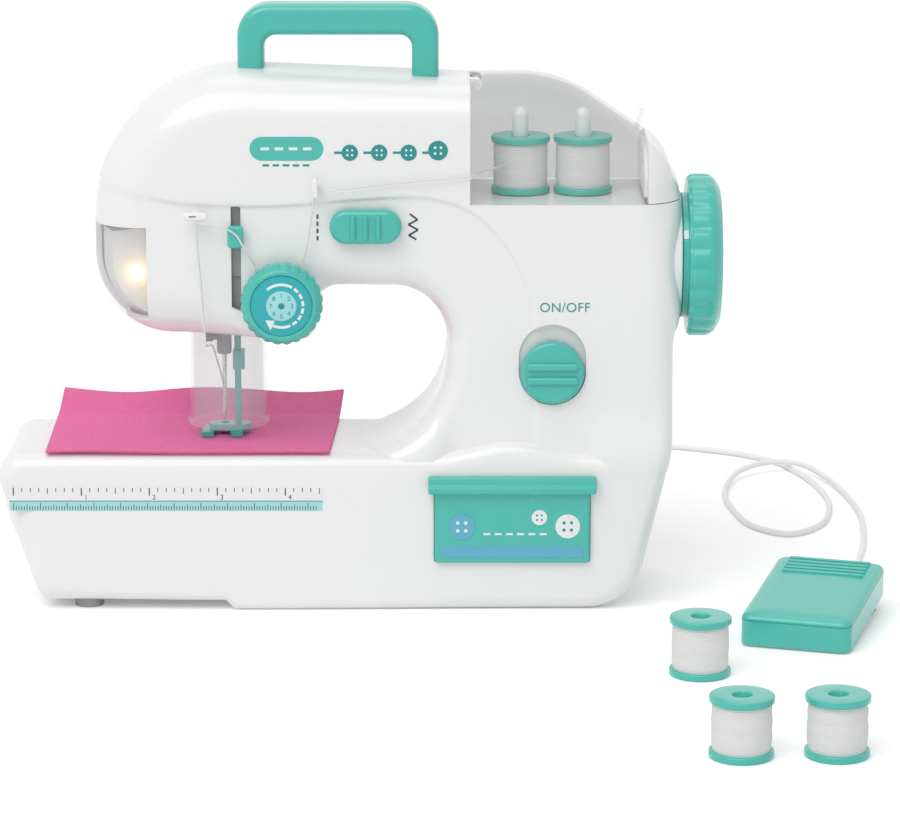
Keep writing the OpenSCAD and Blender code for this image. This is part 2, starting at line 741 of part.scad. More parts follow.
// Wound thread: one unbroken helical tube round the barrel of its reel
loop_rings = 10;
tube_sides = 6;
wound_h = reel_h - 2 * flange_t - 1;
wound_pitch = wound_h / (wound_loops + 0.8);
tube_d = wound_pitch - 0.45;
tube_path_r = wound_d / 2 - tube_d / 2;
wound_core_d = 2 * (tube_path_r * cos(180 / loop_rings) - tube_d / 2 - 0.08);
function wound_point(i) =
    let(n = wound_loops * loop_rings, k = min(max(i, 0), n), a = 360 * k / loop_rings, out = (i - k) * tube_d)
    [tube_path_r * cos(a) - out * sin(a), tube_path_r * sin(a) + out * cos(a),
        tube_d / 2 + 0.2 + wound_pitch * k / loop_rings];
wound_gap = min([for (i = [0 : (wound_loops - 1) * loop_rings])
    norm(wound_point(i + loop_rings) - wound_point(i))]) - tube_d;
echo(least_gap_between_loops = wound_gap);

module winding() translate([0, 0, flange_t + 0.1]) {
    n = wound_loops * loop_rings;
    rings = [for (i = [-1 : n + 1])
        let(p = wound_point(i), a = 360 * min(max(i, 0), n) / loop_rings)
        [for (j = [0 : tube_sides - 1])
            let(t = 360 * j / tube_sides, out = tube_d / 2 * cos(t))
            p + [out * cos(a), out * sin(a), tube_d / 2 * sin(t)]]];
    polyhedron([for (r = rings) each r], tube_faces(tube_sides, n + 3));
}

// Closed triangle faces of a swept tube
function tube_faces(n, rings) = concat(
    [for (i = [1 : n - 2]) [0, i, i + 1]],
    [for (k = [0 : rings - 2], i = [0 : n - 1])
        each [[k * n + i, (k + 1) * n + i, k * n + (i + 1) % n],
              [k * n + (i + 1) % n, (k + 1) * n + i, (k + 1) * n + (i + 1) % n]]],
    [for (i = [1 : n - 2]) [(rings - 1) * n, (rings - 1) * n + i + 1, (rings - 1) * n + i]]);

spool_lift = 0.2;

module on_pin(x) {
    translate([x, 0, bay_z + spool_lift]) children();
}

module left_reel() color(teal) on_pin(left_spool_x) reel();
module left_winding() color(white) on_pin(left_spool_x) winding();
module right_reel() color(teal) on_pin(right_spool_x) reel();
module right_winding() color(white) on_pin(right_spool_x) winding();

// Spare spools on the table in front of the pedal
spare_places = [[132, -114], [140, -208], [172, -207]];

module spare_reels() color(teal) for (p = spare_places) translate([p[0], p[1], 0]) reel();
module spare_windings() color(white) for (p = spare_places) translate([p[0], p[1], 0]) winding();

module handwheel() color(teal) translate([wheel_x, 0, shaft_z]) rotate([0, 90, 0]) difference() {
    hub = wheel_x - boss_x - slide_gap;
    union() {
        rotate_extrude() polygon([[0, 0], [wheel_d / 2 - 1.5, 0], [wheel_d / 2, 1.5],
            [wheel_d / 2, wheel_w - 4.4], [wheel_d / 2 - 3.2, wheel_w - 1.8], [wheel_d / 4, wheel_w - 0.4],
            [0, wheel_w]]);
        translate([0, 0, -hub]) cylinder(d = collar_d, h = hub + eps);
    }
    for (i = [0 : wheel_flutes - 1]) rotate(360 * i / wheel_flutes)
        translate([wheel_d / 2 + 1, 0, 2.6]) cylinder(d = 4.4, h = wheel_w);
    translate([0, 0, -hub - 1]) cylinder(d = shaft_d, h = hub + 9);
}

module main_shaft() color(steel) translate([0, 0, shaft_z]) bar_x(crank_x, wheel_x + 8, shaft_d);

module shaft_bushes() color("goldenrod") translate([0, 0, shaft_z]) difference() {
    union() {
        bar_x(bracket_x, bracket_x + 3, bush_d);
        bar_x(bracket_x + 3, bracket_x + 3 + bush_flange, bush_d + 3);
        bar_x(pillar_reach - boss_in, boss_x, bush_d);
        bar_x(pillar_reach - boss_in - bush_flange, pillar_reach - boss_in, bush_d + 3);
    }
    bar_x(bracket_x - 9, collar_x + 9, shaft_d + 2 * run_gap);
}

// Spur gear in the XY plane with involute flanks and a tooth on +X
pressure = 20;
flank_steps = 4;
tooth_play = 0.22;
function involute(rb, t) = rb * [cos(t) + t * PI / 180 * sin(t), sin(t) - t * PI / 180 * cos(t)];
function turned(p, a) = [p[0] * cos(a) - p[1] * sin(a), p[0] * sin(a) + p[1] * cos(a)];

module spur(teeth, h) {
    r = gear_module * teeth / 2;
    rb = r * cos(pressure);
    tip = r + 0.8 * gear_module;
    root = r - 1.05 * gear_module;
    tip_t = sqrt(tip * tip / rb / rb - 1) * 180 / PI;
    start_t = root > rb ? sqrt(root * root / rb / rb - 1) * 180 / PI : 0;
    half = 90 / teeth - tooth_play * 90 / PI / r + tan(pressure) * 180 / PI - pressure;
    flank = [for (i = [0 : flank_steps])
        turned(involute(rb, start_t + (tip_t - start_t) * i / flank_steps), -half)];
    low = [root * cos(half), -root * sin(half)];
    side = concat(root > rb ? [] : [low], flank);
    tooth = concat(side, [for (i = [len(side) - 1 : -1 : 0]) [side[i][0], -side[i][1]]]);
    linear_extrude(h) polygon([for (k = [0 : teeth - 1]) each [for (p = tooth) turned(p, 360 * k / teeth)]]);
}

module on_shaft(x, z) {
    translate([x, 0, z]) rotate([0, 90, 0]) children();
}

module drive_gear() color("khaki") on_shaft(gear_x, shaft_z) difference() {
    union() {
        spur(drive_teeth, gear_w);
        cylinder(d = shaft_d + 5, h = gear_w + 3);
    }
    translate([0, 0, -1]) cylinder(d = shaft_d, h = gear_w + 9);
}

axle_d = 4;

module idler_gear() color("khaki") on_shaft(gear_x, idler_z) difference() {
    rotate(180 / idler_teeth) spur(idler_teeth, gear_w);
    translate([0, 0, -1]) cylinder(d = axle_d + 2 * run_gap, h = gear_w + 9);
}

rotor_d = 2;

module motor_pinion() color(steel) {
    on_shaft(gear_x, pinion_z) spur(pinion_teeth, gear_w);
    translate([0, 0, pinion_z]) bar_x(plate_x - motor_l + 2, gear_x + eps, rotor_d);
}

module motor() color("darkgray") translate([0, 0, pinion_z]) difference() {
    union() {
        bar_x(plate_x - motor_l, plate_x, motor_d);
        bar_x(plate_x - motor_l - 2, plate_x - motor_l, 7);
        bar_x(plate_x, plate_x + 1.6, 6);
    }
    bar_x(plate_x - motor_l + 2 - slide_gap, gear_x, rotor_d + 2 * run_gap);
}

module gear_plate() color("gainsboro") difference() {
    union() {
        block(plate_x, plate_x + plate_w, -13, inner_y, pinion_z - 11, shaft_z + 12);
        translate([0, 0, idler_z]) bar_x(plate_x, gear_x + gear_w + 1.5, axle_d);
        translate([0, 0, idler_z]) bar_x(plate_x, gear_x - slide_gap, axle_d + 3);
    }
    translate([0, 0, shaft_z]) bar_x(plate_x - 1, plate_x + 9, shaft_d + 1);
    translate([0, 0, pinion_z]) bar_x(plate_x - 1, plate_x + 9, 6);
}

// Bracket in the head: a web behind the yoke, guides for the two bars and ties to the rear wall
web_y = 15;
web_t = 3;

module head_bracket() color("gainsboro") difference() {
    x0 = needle_x - 4;
    x1 = bracket_x + 3;
    top = yoke_z + 24;
    union() {
        block(bracket_x, x1, -12, web_y + web_t, guide_z, shaft_z + 14);
        block(x0, x1, web_y, web_y + web_t, guide_z, top);
        block(x0, x1, -4, web_y + web_t, guide_z, guide_z + 3.5);
        block(x0, needle_x + 3.4, -3.5, inner_y, top - 3.5, top);
        block(presser_x - 1.5, presser_x + 1.5, -3, web_y + web_t, spring_z1, spring_z1 + 2);
        block(x0, x1, web_y, inner_y, shaft_z - 6, shaft_z - 2);
    }
    translate([0, 0, shaft_z]) bar_x(bracket_x - 1, bracket_x + 9, bush_d);
    translate([needle_x, 0, guide_z - 1]) cylinder(d = needle_bar_d + 2 * run_gap, h = yoke_z);
    translate([presser_x, 0, guide_z - 1]) cylinder(d = presser_d + 2 * run_gap, h = yoke_z);
}

module pulley(y, z) translate([pulley_x, y, z]) rotate([0, 90, 0]) difference() {
    union() {
        cylinder(r = pulley_r, h = pulley_w);
        for (h = [-1.2, pulley_w]) translate([0, 0, h]) cylinder(r = pulley_r + 2.2, h = 1.2);
    }
    translate([0, 0, -3]) cylinder(d = z == shaft_z ? shaft_d : lower_d, h = pulley_w + 6);
}

module upper_pulley() color(teal) pulley(0, shaft_z);
module lower_pulley() color(teal) pulley(lower_y, lower_z);

module belt_loop(r) {
    length = norm([lower_y, shaft_z - lower_z]);
    circle(r);
    translate([length, 0]) circle(r);
    translate([0, -r]) square([length, 2 * r]);
}

module drive_belt() color("dimgray") translate([pulley_x + 0.5, 0, shaft_z]) rotate([0, 90, 0])
    rotate(atan2(lower_y, shaft_z - lower_z)) linear_extrude(pulley_w - 1) difference() {
        belt_loop(pulley_r + slide_gap + belt_t);
        belt_loop(pulley_r + slide_gap);
    }

looper_x = needle_x - 10.5;

module lower_shaft() color(steel) translate([0, lower_y, lower_z])
    bar_x(looper_x, pulley_x + pulley_w + 2, lower_d);

module looper() color(steel) translate([0, lower_y, lower_z]) difference() {
    union() {
        bar_x(looper_x, looper_x + 2.5, lower_d + 3.4);
        translate([looper_x, -1, -4.3]) cube([1.8, 2, 2.2]);
    }
    bar_x(looper_x - 1, looper_x + 9, lower_d);
}

module battery_tray() color("whitesmoke") difference() {
    block(bay_x0 - 2, bay_x1 + 2, -door_y - 2, door_y + 2, wall, wall + cell_d + 2.4);
    block(bay_x0, bay_x1, -door_y, door_y, 0, wall + cell_d + 0.8);
}

module batteries() color("slategray") for (i = [-1, 0, 1])
    translate([0, i * cell_pitch, wall + 0.3 + cell_d / 2]) {
        bar_x(bay_x0 + 1, bay_x1 - 2.5, cell_d);
        bar_x(bay_x1 - 2.5, bay_x1 - 1, 5.4);
    }

module battery_door() color(white)
    block(bay_x0 + 0.2, bay_x1 - 0.2, 0.2 - door_y, door_y - 0.2, 0, wall);

foot_d = 10.9;

module feet() color("silver") for (s = [-1, 1])
    translate([34.1 - base_reach, s * (base_y - 10), 0]) cylinder(d = foot_d, h = raised_z);

// Strain relief of the cord, through the rear wall of the base
grommet_x = pillar_reach - 34.3;
grommet_z = 10;
grommet_d = 7;

module cord_grommet() color(white) translate([grommet_x, 0, grommet_z]) {
    bar_y(base_inner_y - 2, base_y + 3, grommet_d);
    bar_y(base_inner_y - 2, base_inner_y, grommet_d + 3);
}

// Tube swept along points, with level rings
function ring_dirs(a, b, c) =
    let(t = unit(unit(b - a) + unit(c - b)), side = unit(cross(t, [0, 0, 1])), up = cross(side, t))
    [side, up];

module tube(points, d, sides) {
    n = len(points);
    rings = [for (i = [0 : n - 1])
        let(p = points[i], a = i == 0 ? 2 * p - points[1] : points[i - 1],
            c = i == n - 1 ? 2 * p - points[n - 2] : points[i + 1], dirs = ring_dirs(a, p, c))
        [for (j = [0 : sides - 1]) let(t = 360 * (j + 0.5) / sides)
            p + d / 2 * (cos(t) * dirs[0] + sin(t) * dirs[1])]];
    polyhedron([for (r = rings) each r], tube_faces(sides, n));
}

// Smooth curve through route points, with some steps between each two
function curve(p, steps) =
    let(n = len(p))
    concat([for (i = [0 : n - 2], k = [0 : steps - 1])
        let(a = p[max(i - 1, 0)], b = p[i], c = p[i + 1], e = p[min(i + 2, n - 1)], t = k / steps)
        b + (c - a) * t / 2 + (2 * a - 5 * b + 4 * c - e) * t * t / 2
            + (3 * b - a - 3 * c + e) * t * t * t / 2], [p[n - 1]]);

// Foot pedal in its own frame: hinged front at y = 0, long way along +Y
pedal_place = [168, -86];
pedal_turn = -17;
pedal_wall = 2;
pedal_base_z = 5;
pedal_pin_d = 3;
pedal_pin_y = 7;
pedal_pin_z = 6.8;
treadle_lift = 6.4;
treadle_swing = 5;
treadle_drop = (treadle_l - pedal_pin_y) * sin(treadle_swing);
cord_entry_z = 5.6;
pedal_spring_y = 44;
pedal_spring_d = 8;

module at_pedal() {
    translate([pedal_place[0], pedal_place[1], 0]) rotate(pedal_turn) children();
}

function pedal_point(y, z) = [pedal_place[0] - y * sin(pedal_turn), pedal_place[1] + y * cos(pedal_turn), z];

// Route of the pedal cord over the table: out behind the base, one loop, then to the pedal
cord_route = [[grommet_x, base_y + 3, grommet_z], [grommet_x, 44, 9.6], [grommet_x + 1, 62, 4],
    [grommet_x + 3, 84, 1.4], [99, 130, 1.4], [107, 180, 1.4],
    [120, 213, 1.4], [137, 223, 1.4], [153, 218, 1.4], [168, 210, 1.4], [182, 197, 1.4], [191, 178, 1.4],
    [198, 150, 1.4], [200, 120, 1.4], [194, 90, 1.4], [180, 74, 1.4], [166, 86, 1.4], [160, 110, 1.4],
    [158, 140, 1.6], [165, 168, 3.2], [178, 181, 4.4], [192, 180, 4.4], [202, 164, 2.6], [208, 140, 1.4],
    [211, 110, 1.4], [210, 80, 1.4], [206, 48, 1.4], [198, 12, 1.4], pedal_point(treadle_l + 13, 4),
    pedal_point(treadle_l + 4.5, cord_entry_z), pedal_point(treadle_l + 0.4, cord_entry_z),
    pedal_point(treadle_l - pedal_wall - 0.6, cord_entry_z)];

module pedal_cord() color(white) tube(curve(cord_route, 2), cord_d, 8);

function treadle_top(y) = treadle_front + (treadle_rear - treadle_front) * y / treadle_l;

// Side outline of the treadle, moved in by a wall, as an extruded block across X
module treadle_block(inset, drop) {
    w = treadle_w - 2 * inset;
    translate([-w / 2, 0, 0]) rotate([90, 0, 90]) linear_extrude(w) polygon([
        [inset, 0.8 - drop], [treadle_l - inset, treadle_lift - drop],
        [treadle_l - inset, treadle_rear - inset], [inset, treadle_front - inset]]);
}

module pedal_treadle() color(teal) at_pedal() difference() {
    union() {
        difference() {
            treadle_block(0, 0);
            treadle_block(pedal_wall, 5);
        }
        for (i = [0 : 4]) translate([0, treadle_l - 4 - 3.4 * i, treadle_top(treadle_l - 4 - 3.4 * i)])
            bar_x(-treadle_w / 2 + 3, treadle_w / 2 - 3, 1.6);
        for (s = [-1, 1]) translate([s * (treadle_w / 2 - pedal_wall - 1.5), pedal_pin_y, 0])
            block(-1.5, 1.5, -3, 3, pedal_pin_z - 2.6, treadle_front - pedal_wall / 2);
    }
    translate([0, pedal_pin_y, pedal_pin_z]) bar_x(-treadle_w, treadle_w, pedal_pin_d + 2 * run_gap);
    block(-cord_d / 2 - 0.8, cord_d / 2 + 0.8, treadle_l - pedal_wall - 1, treadle_l + 1, 0,
        cord_entry_z + cord_d / 2 + treadle_drop + slide_gap);
}

module pedal_base() color("gainsboro") at_pedal() {
    ear_x = treadle_w / 2 - pedal_wall - 3 - slide_gap;
    difference() {
        block(-treadle_w / 2 + pedal_wall + 0.6, treadle_w / 2 - pedal_wall - 0.6, pedal_wall + 1,
            treadle_l - pedal_wall - 1.4, 0, pedal_base_z);
        for (s = [-1, 1]) translate([s * (treadle_w / 2 - pedal_wall - 1.5), pedal_pin_y, 0])
            block(-2.6, 2.6, -4.4, 4.4, pedal_pin_z - 4, pedal_base_z + 1);
    }
    for (s = [-1, 1]) translate([s * (ear_x - 1.5), pedal_pin_y, 0])
        block(-1.5, 1.5, -2.4, 2.4, pedal_base_z - eps, pedal_pin_z + 2);
    translate([0, pedal_pin_y, pedal_pin_z]) bar_x(-treadle_w / 2 + 0.4, treadle_w / 2 - 0.4, pedal_pin_d);
    translate([0, 0, cord_entry_z]) bar_y(treadle_l - 8, treadle_l - pedal_wall - 0.6, 6);
}

module pedal_spring() color(steel) at_pedal()
    translate([0, pedal_spring_y, pedal_base_z]) difference() {
        cylinder(d = pedal_spring_d, h = treadle_top(pedal_spring_y) - pedal_wall - pedal_base_z - 0.4);
        translate([0, 0, -1]) cylinder(d = pedal_spring_d - 2.4, h = 19);
    }

// Sample of cloth on the bed, flat under the foot and waved towards its free edges
cloth_x = -104;
cloth_w = throat_x - 39.7 - cloth_x;
cloth_l = 84;
cloth_y = -30.5;
cloth_t = 0.8;
cloth_nx = 22;
cloth_ny = 14;
function cloth_point(i, j) =
    let(u = i / cloth_nx, v = j / cloth_ny,
        x = cloth_x + cloth_w * u + v * (3.8 * u - 0.6) - 4,
        y = cloth_y + cloth_l * v + 1.6 * sin(500 * u) * v * v,
        away = max(norm([x - guard_x, y]) - guard_d / 2 - 4, 0) / 40,
        swell = min(away, 1) * (0.5 + 2.6 * v * v))
    [x, y, bed_z + 0.2 + swell * (1 + sin(560 * u + 150 * v)) / 2 + 3.4 * max(v - 0.72, 0) / 0.28];

module sample_cloth() color("deeppink") difference() {
    n = cloth_nx + 1;
    m = cloth_ny + 1;
    low = [for (j = [0 : cloth_ny], i = [0 : cloth_nx]) cloth_point(i, j)];
    points = concat(low, [for (p = low) p + [0, 0, cloth_t]]);
    rim = concat([for (i = [0 : cloth_nx]) i], [for (j = [1 : cloth_ny]) j * n + cloth_nx],
        [for (i = [cloth_nx - 1 : -1 : 0]) cloth_ny * n + i], [for (j = [cloth_ny - 1 : -1 : 1]) j * n]);
    polyhedron(points, concat(
        [for (j = [0 : cloth_ny - 1], i = [0 : cloth_nx - 1]) let(a = j * n + i)
            each [[a, a + 1, a + n + 1], [a, a + n + 1, a + n]]],
        [for (j = [0 : cloth_ny - 1], i = [0 : cloth_nx - 1]) let(a = n * m + j * n + i)
            each [[a, a + n + 1, a + 1], [a, a + n, a + n + 1]]],
        [for (k = [0 : len(rim) - 1]) let(a = rim[k], b = rim[(k + 1) % len(rim)])
            each [[a, n * m + a, b], [b, n * m + a, n * m + b]]]));
    translate([needle_x, 0, bed_z - 5]) cylinder(d = 3, h = 12);
}

// Sewing thread: from the left spool over the loop guide to the dial, then on to the needle
thread_d = 0.7;
spool_thread_route = [[left_spool_x - 5.2, -8.4, notch_z + 1], [bay_x + 3.2, 4.5 - face_y, notch_z + 0.2],
    [bay_x + 1.4, 0.1 - face_y, notch_z], [bay_x - 0.2, -face_y - 1.3, notch_z - 0.2],
    [bay_x - 4.4, -face_y - 1.5, notch_z - 0.5], [bay_x - 30.4, -face_y - 1.6, notch_z - 2.8],
    [guide_places[0][0], -face_y - 2, guide_places[0][1] - 2],
    [dial_x + 9.4, -face_y - 2, dial_z + 21.6], [dial_x + 6, -face_y - 1.1, dial_z + 8.6]];
needle_thread_route = [[dial_x - 6.5, -face_y - 1.1, dial_z + 6.1],
    [dial_x - 10.6, -face_y - 1.2, dial_z + 14.1], [slot_x + 3.7, -face_y - 4.3, lever_z0 - 1],
    [slot_x, -face_y - 4.6, lever_z1 - 0.5],
    [needle_x + 0.5, -face_y - 5, lever_z1 + 2],
    [guide_places[1][0] + 0.2, -face_y - 4.6, guide_places[1][1] - 2.4],
    [needle_x - 6.5, -face_y - 2.4, lever_z0 - 15], [needle_x - 5.1, -face_y - 0.6, head_z - 1.1],
    [needle_x - 4.1, -20, clamp_top - 1.6], [needle_x - 3.5, -13.4, clamp_top - 3.4],
    [needle_x - 1.9, -4, clamp_top - 13], [needle_x - 0.3, -1.6, bed_z + 8.6]];

module spool_thread() color(white) tube(curve(spool_thread_route, 2), thread_d, 6);
module needle_thread() color(white) tube(curve(needle_thread_route, 2), thread_d, 6);

front_shell();
rear_shell();
handle();
needle_plate();
feed_dog();
presser_foot();
presser_bar();
presser_spring();
needle_bar();
needle_clamp();
needle();
take_up_lever();
needle_guard();
lamp_lens();
lamp_led();
thread_guides();
tension_dial();
tension_stud();
stitch_selector();
power_button();
switch_body();
drawer();
drawer_housing();
spool_tray();
left_reel();
left_winding();
right_reel();
right_winding();
spool_cover();
cover_pin();
handwheel();
main_shaft();
shaft_bushes();
crank_disc();
drive_gear();
upper_pulley();
motor();
motor_pinion();
idler_gear();
gear_plate();
head_bracket();
drive_belt();
lower_pulley();
lower_shaft();
looper();
battery_tray();
batteries();
battery_door();
cord_grommet();
pedal_cord();
pedal_base();
pedal_treadle();
pedal_spring();
feet();
case_screws();
sample_cloth();
spool_thread();
needle_thread();
spare_reels();
spare_windings();
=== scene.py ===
"""Toy sewing machine with pedal, spools and a sample of cloth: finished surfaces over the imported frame."""
import json
import math

import bmesh
import bpy
import numpy as np
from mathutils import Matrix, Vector
from mathutils.geometry import delaunay_2d_cdt


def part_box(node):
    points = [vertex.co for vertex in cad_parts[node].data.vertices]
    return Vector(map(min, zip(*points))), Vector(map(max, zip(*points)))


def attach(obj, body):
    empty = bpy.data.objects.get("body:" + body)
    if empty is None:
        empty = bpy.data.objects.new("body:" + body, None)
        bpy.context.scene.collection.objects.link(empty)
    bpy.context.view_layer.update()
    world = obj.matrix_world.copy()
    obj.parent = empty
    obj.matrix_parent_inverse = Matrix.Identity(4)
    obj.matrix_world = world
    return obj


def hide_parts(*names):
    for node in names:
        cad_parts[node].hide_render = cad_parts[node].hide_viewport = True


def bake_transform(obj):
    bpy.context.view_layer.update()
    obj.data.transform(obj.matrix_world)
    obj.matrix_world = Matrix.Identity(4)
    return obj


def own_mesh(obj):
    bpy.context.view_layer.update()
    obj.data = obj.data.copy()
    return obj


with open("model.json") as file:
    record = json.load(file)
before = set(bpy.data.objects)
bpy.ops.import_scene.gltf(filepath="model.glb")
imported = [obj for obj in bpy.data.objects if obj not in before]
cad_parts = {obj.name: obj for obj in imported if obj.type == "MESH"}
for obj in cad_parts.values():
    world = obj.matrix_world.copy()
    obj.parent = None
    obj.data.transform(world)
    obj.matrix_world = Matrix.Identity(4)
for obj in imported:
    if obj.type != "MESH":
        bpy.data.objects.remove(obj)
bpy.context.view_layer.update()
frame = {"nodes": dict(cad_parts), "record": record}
scene = bpy.context.scene
scene.view_settings.view_transform = "Standard"

# Camera at the photograph's place: lengths below are millimetres until a mesh is made
MM = 0.001
PHOTO_W, PHOTO_H, HORIZON_ROW = 900, 827, 332.39
FOCAL_PX, SENSOR = 3961.93, 36.0
CAMERA_AT = np.array([43.0, -1467.22, 411.87])
CAMERA_DOWN = math.radians(12.0) + math.atan((0.5 * PHOTO_H - HORIZON_ROW) / FOCAL_PX)

camera_data = bpy.data.cameras.new("photo_camera")
camera_data.sensor_fit, camera_data.sensor_width = "HORIZONTAL", SENSOR
camera_data.lens = SENSOR * FOCAL_PX / PHOTO_W
camera_data.clip_end = 20.0
camera = bpy.data.objects.new("photo_camera", camera_data)
camera.location = CAMERA_AT * MM
camera.rotation_euler = (math.pi / 2 - CAMERA_DOWN, 0.0, 0.0)
scene.collection.objects.link(camera)
scene.camera = camera


# Arrays to meshes
def add_piece(name, points, faces, material, body, slot, stands_for=(), smooth=40.0):
    """Mesh object at the origin from points in millimetres; edges sharper than smooth degrees stay crisp."""
    mesh = bpy.data.meshes.new(name)
    mesh.from_pydata((np.asarray(points, float) * MM).tolist(), [], [list(map(int, f)) for f in faces])
    mesh.validate()
    return add_mesh(name, mesh, material, body, stands_for, smooth)


def add_mesh(name, mesh, material, body, stands_for, smooth):
    """Object for a finished mesh: its finish, the body it rides on, if any, and the nodes it stands for."""
    mesh.polygons.foreach_set("use_smooth", np.ones(len(mesh.polygons), bool))
    if smooth < 180:
        mesh.set_sharp_from_angle(angle=math.radians(smooth))
    mesh.materials.append(material)
    piece = bpy.data.objects.new(name, mesh)
    scene.collection.objects.link(piece)
    if body:
        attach(piece, body)
    if stands_for:
        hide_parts(*stands_for)
    return piece


def grid_faces(rows, cols, closed=True):
    """Quads of a grid of rows by cols points; a closed grid joins its last column to its first."""
    r = np.arange(rows - 1)[:, None]
    c = np.arange(cols if closed else cols - 1)[None, :]
    r1, c1 = r + 1, (c + 1) % cols
    quads = np.stack(np.broadcast_arrays(r * cols + c, r * cols + c1, r1 * cols + c1, r1 * cols + c), -1)
    return quads.reshape(-1, 4).tolist()


def end_faces(rows, cols):
    """First and last ring of a closed grid, as two faces that close it."""
    return [list(range(cols))[::-1], [(rows - 1) * cols + i for i in range(cols)]]


def turned_over(faces):
    """The same faces pointing the other way."""
    return [list(f)[::-1] for f in faces]


def joined(*parts):
    """One list of points and faces from several."""
    points, faces, start = [], [], 0
    for p, f in parts:
        p = np.asarray(p, float)
        points.append(p)
        faces += [[i + start for i in face] for face in f]
        start += len(p)
    return np.concatenate(points), faces


def arc_between(a, b, c, radius, steps):
    """Arc of a radius in the corner b between the sides towards a and c, as steps + 1 points."""
    if radius <= 0:
        return b[None, :]
    u, w = (a - b) / np.linalg.norm(a - b), (c - b) / np.linalg.norm(c - b)
    half = 0.5 * math.acos(float(np.clip(u @ w, -1, 1)))
    middle = (u + w) / np.linalg.norm(u + w)
    centre = b + middle * radius / math.sin(half)
    start = b + u * radius / math.tan(half) - centre
    turn = (math.pi - 2 * half) * (1 if np.cross(-u, w) > 0 else -1)
    t = math.atan2(start[1], start[0]) + turn * np.linspace(0, 1, steps + 1)
    return centre + radius * np.stack([np.cos(t), np.sin(t)], 1)


def rounded_line(corners, steps):
    """Line through corners (x, y, radius): each corner is a circular arc tangent to both its sides."""
    corners = [np.asarray(c, float) for c in corners]
    arcs = [arc_between(a[:2], b[:2], c[:2], b[2], steps) for a, b, c in zip(corners, corners[1:], corners[2:])]
    return np.concatenate([corners[0][None, :2]] + arcs + [corners[-1][None, :2]])


def rounded_loop(corners, steps):
    """Closed anticlockwise line through corners (x, y, radius)."""
    at = [np.asarray(c, float) for c in corners]
    around = zip(at[-1:] + at[:-1], at, at[1:] + at[:1])
    return np.concatenate([arc_between(a[:2], b[:2], c[:2], b[2], steps) for a, b, c in around])


def capsule(x0, x1, z0, z1, radius, steps):
    """Closed anticlockwise rounded rectangle in x, z."""
    return rounded_loop([(x0, z0, radius), (x1, z0, radius), (x1, z1, radius), (x0, z1, radius)], steps)


def circle_loop(x, z, radius, count=40):
    """Closed anticlockwise circle in x, z."""
    t = np.linspace(0, 2 * math.pi, count, endpoint=False)
    return np.column_stack([x + radius * np.cos(t), z + radius * np.sin(t)])


def ease(t):
    """Smooth cubic step from 0 to 1."""
    t = np.clip(t, 0, 1)
    return t * t * (3 - 2 * t)


def set_on(points, centre, axis):
    """Points whose third axis turns to lie along +X, -Y or +Z, moved to a centre."""
    p = np.asarray(points, float)
    turned = {"x": p[:, [2, 0, 1]], "-y": np.stack([p[:, 0], -p[:, 2], p[:, 1]], 1), "z": p}[axis]
    return turned + np.asarray(centre, float)


def lathe(profile, sides, centre, axis, flute=None):
    """Profile of (radius, height) turned about an axis through a centre; flute, of angle, radius and height,
    changes the radius."""
    profile = np.asarray(profile, float)
    angle = np.linspace(0, 2 * math.pi, sides, endpoint=False)[None, :]
    radius, height = profile[:, :1] + 0 * angle, profile[:, 1:] + 0 * angle
    if flute is not None:
        radius = flute(angle, radius, height)
    points = np.stack([radius * np.cos(angle), radius * np.sin(angle), height], -1).reshape(-1, 3)
    return set_on(points, centre, axis), grid_faces(len(profile), sides)


def swept(path, radius, sides):
    """Round tube along a path: each ring stands square to the path, with frames carried on without twist."""
    path = np.asarray(path, float)
    ahead = np.gradient(path, axis=0)
    ahead /= np.linalg.norm(ahead, axis=1)[:, None]
    side = np.cross(ahead[0], [0.31, 0.2, 0.93])
    sides_along = []
    for t in ahead:
        side = side - t * (side @ t)
        side = side / np.linalg.norm(side)
        sides_along.append(side)
    side = np.array(sides_along)
    up = np.cross(ahead, side)
    angle = np.linspace(0, 2 * math.pi, sides, endpoint=False)
    ring = np.cos(angle)[None, :, None] * side[:, None] + np.sin(angle)[None, :, None] * up[:, None]
    points = (path[:, None] + radius * ring).reshape(-1, 3)
    return points, grid_faces(len(path), sides) + end_faces(len(path), sides)


def smooth_path(route, step):
    """Catmull-Rom curve through route points, sampled evenly at about one step."""
    p = np.asarray(route, float)
    q = np.concatenate([[2 * p[0] - p[1]], p, [2 * p[-1] - p[-2]]])
    t = np.linspace(0, 1, 24, endpoint=False)[:, None]
    parts = [b + (c - a) * t / 2 + (2 * a - 5 * b + 4 * c - e) * t ** 2 / 2
             + (3 * b - a - 3 * c + e) * t ** 3 / 2 for a, b, c, e in zip(q, q[1:], q[2:], q[3:])]
    dense = np.concatenate(parts + [p[-1:]])
    length = np.concatenate([[0], np.cumsum(np.linalg.norm(np.diff(dense, axis=0), axis=1))])
    even = np.linspace(0, length[-1], max(2, int(round(length[-1] / step))) + 1)
    return np.stack([np.interp(even, length, dense[:, i]) for i in range(3)], 1)


def inward(line, depth):
    """Closed anticlockwise plane line moved in along its own normals, by one depth or by one for each point."""
    ahead = np.roll(line, -1, 0) - line
    behind = line - np.roll(line, 1, 0)
    ahead /= np.maximum(np.linalg.norm(ahead, axis=1), 1e-9)[:, None]
    behind /= np.maximum(np.linalg.norm(behind, axis=1), 1e-9)[:, None]
    along = ahead + behind
    along /= np.maximum(np.linalg.norm(along, axis=1), 1e-9)[:, None]
    return line + np.stack([-along[:, 1], along[:, 0]], 1) * np.asarray(depth, float).reshape(-1, 1)


SUPPORT_RING = 0.03


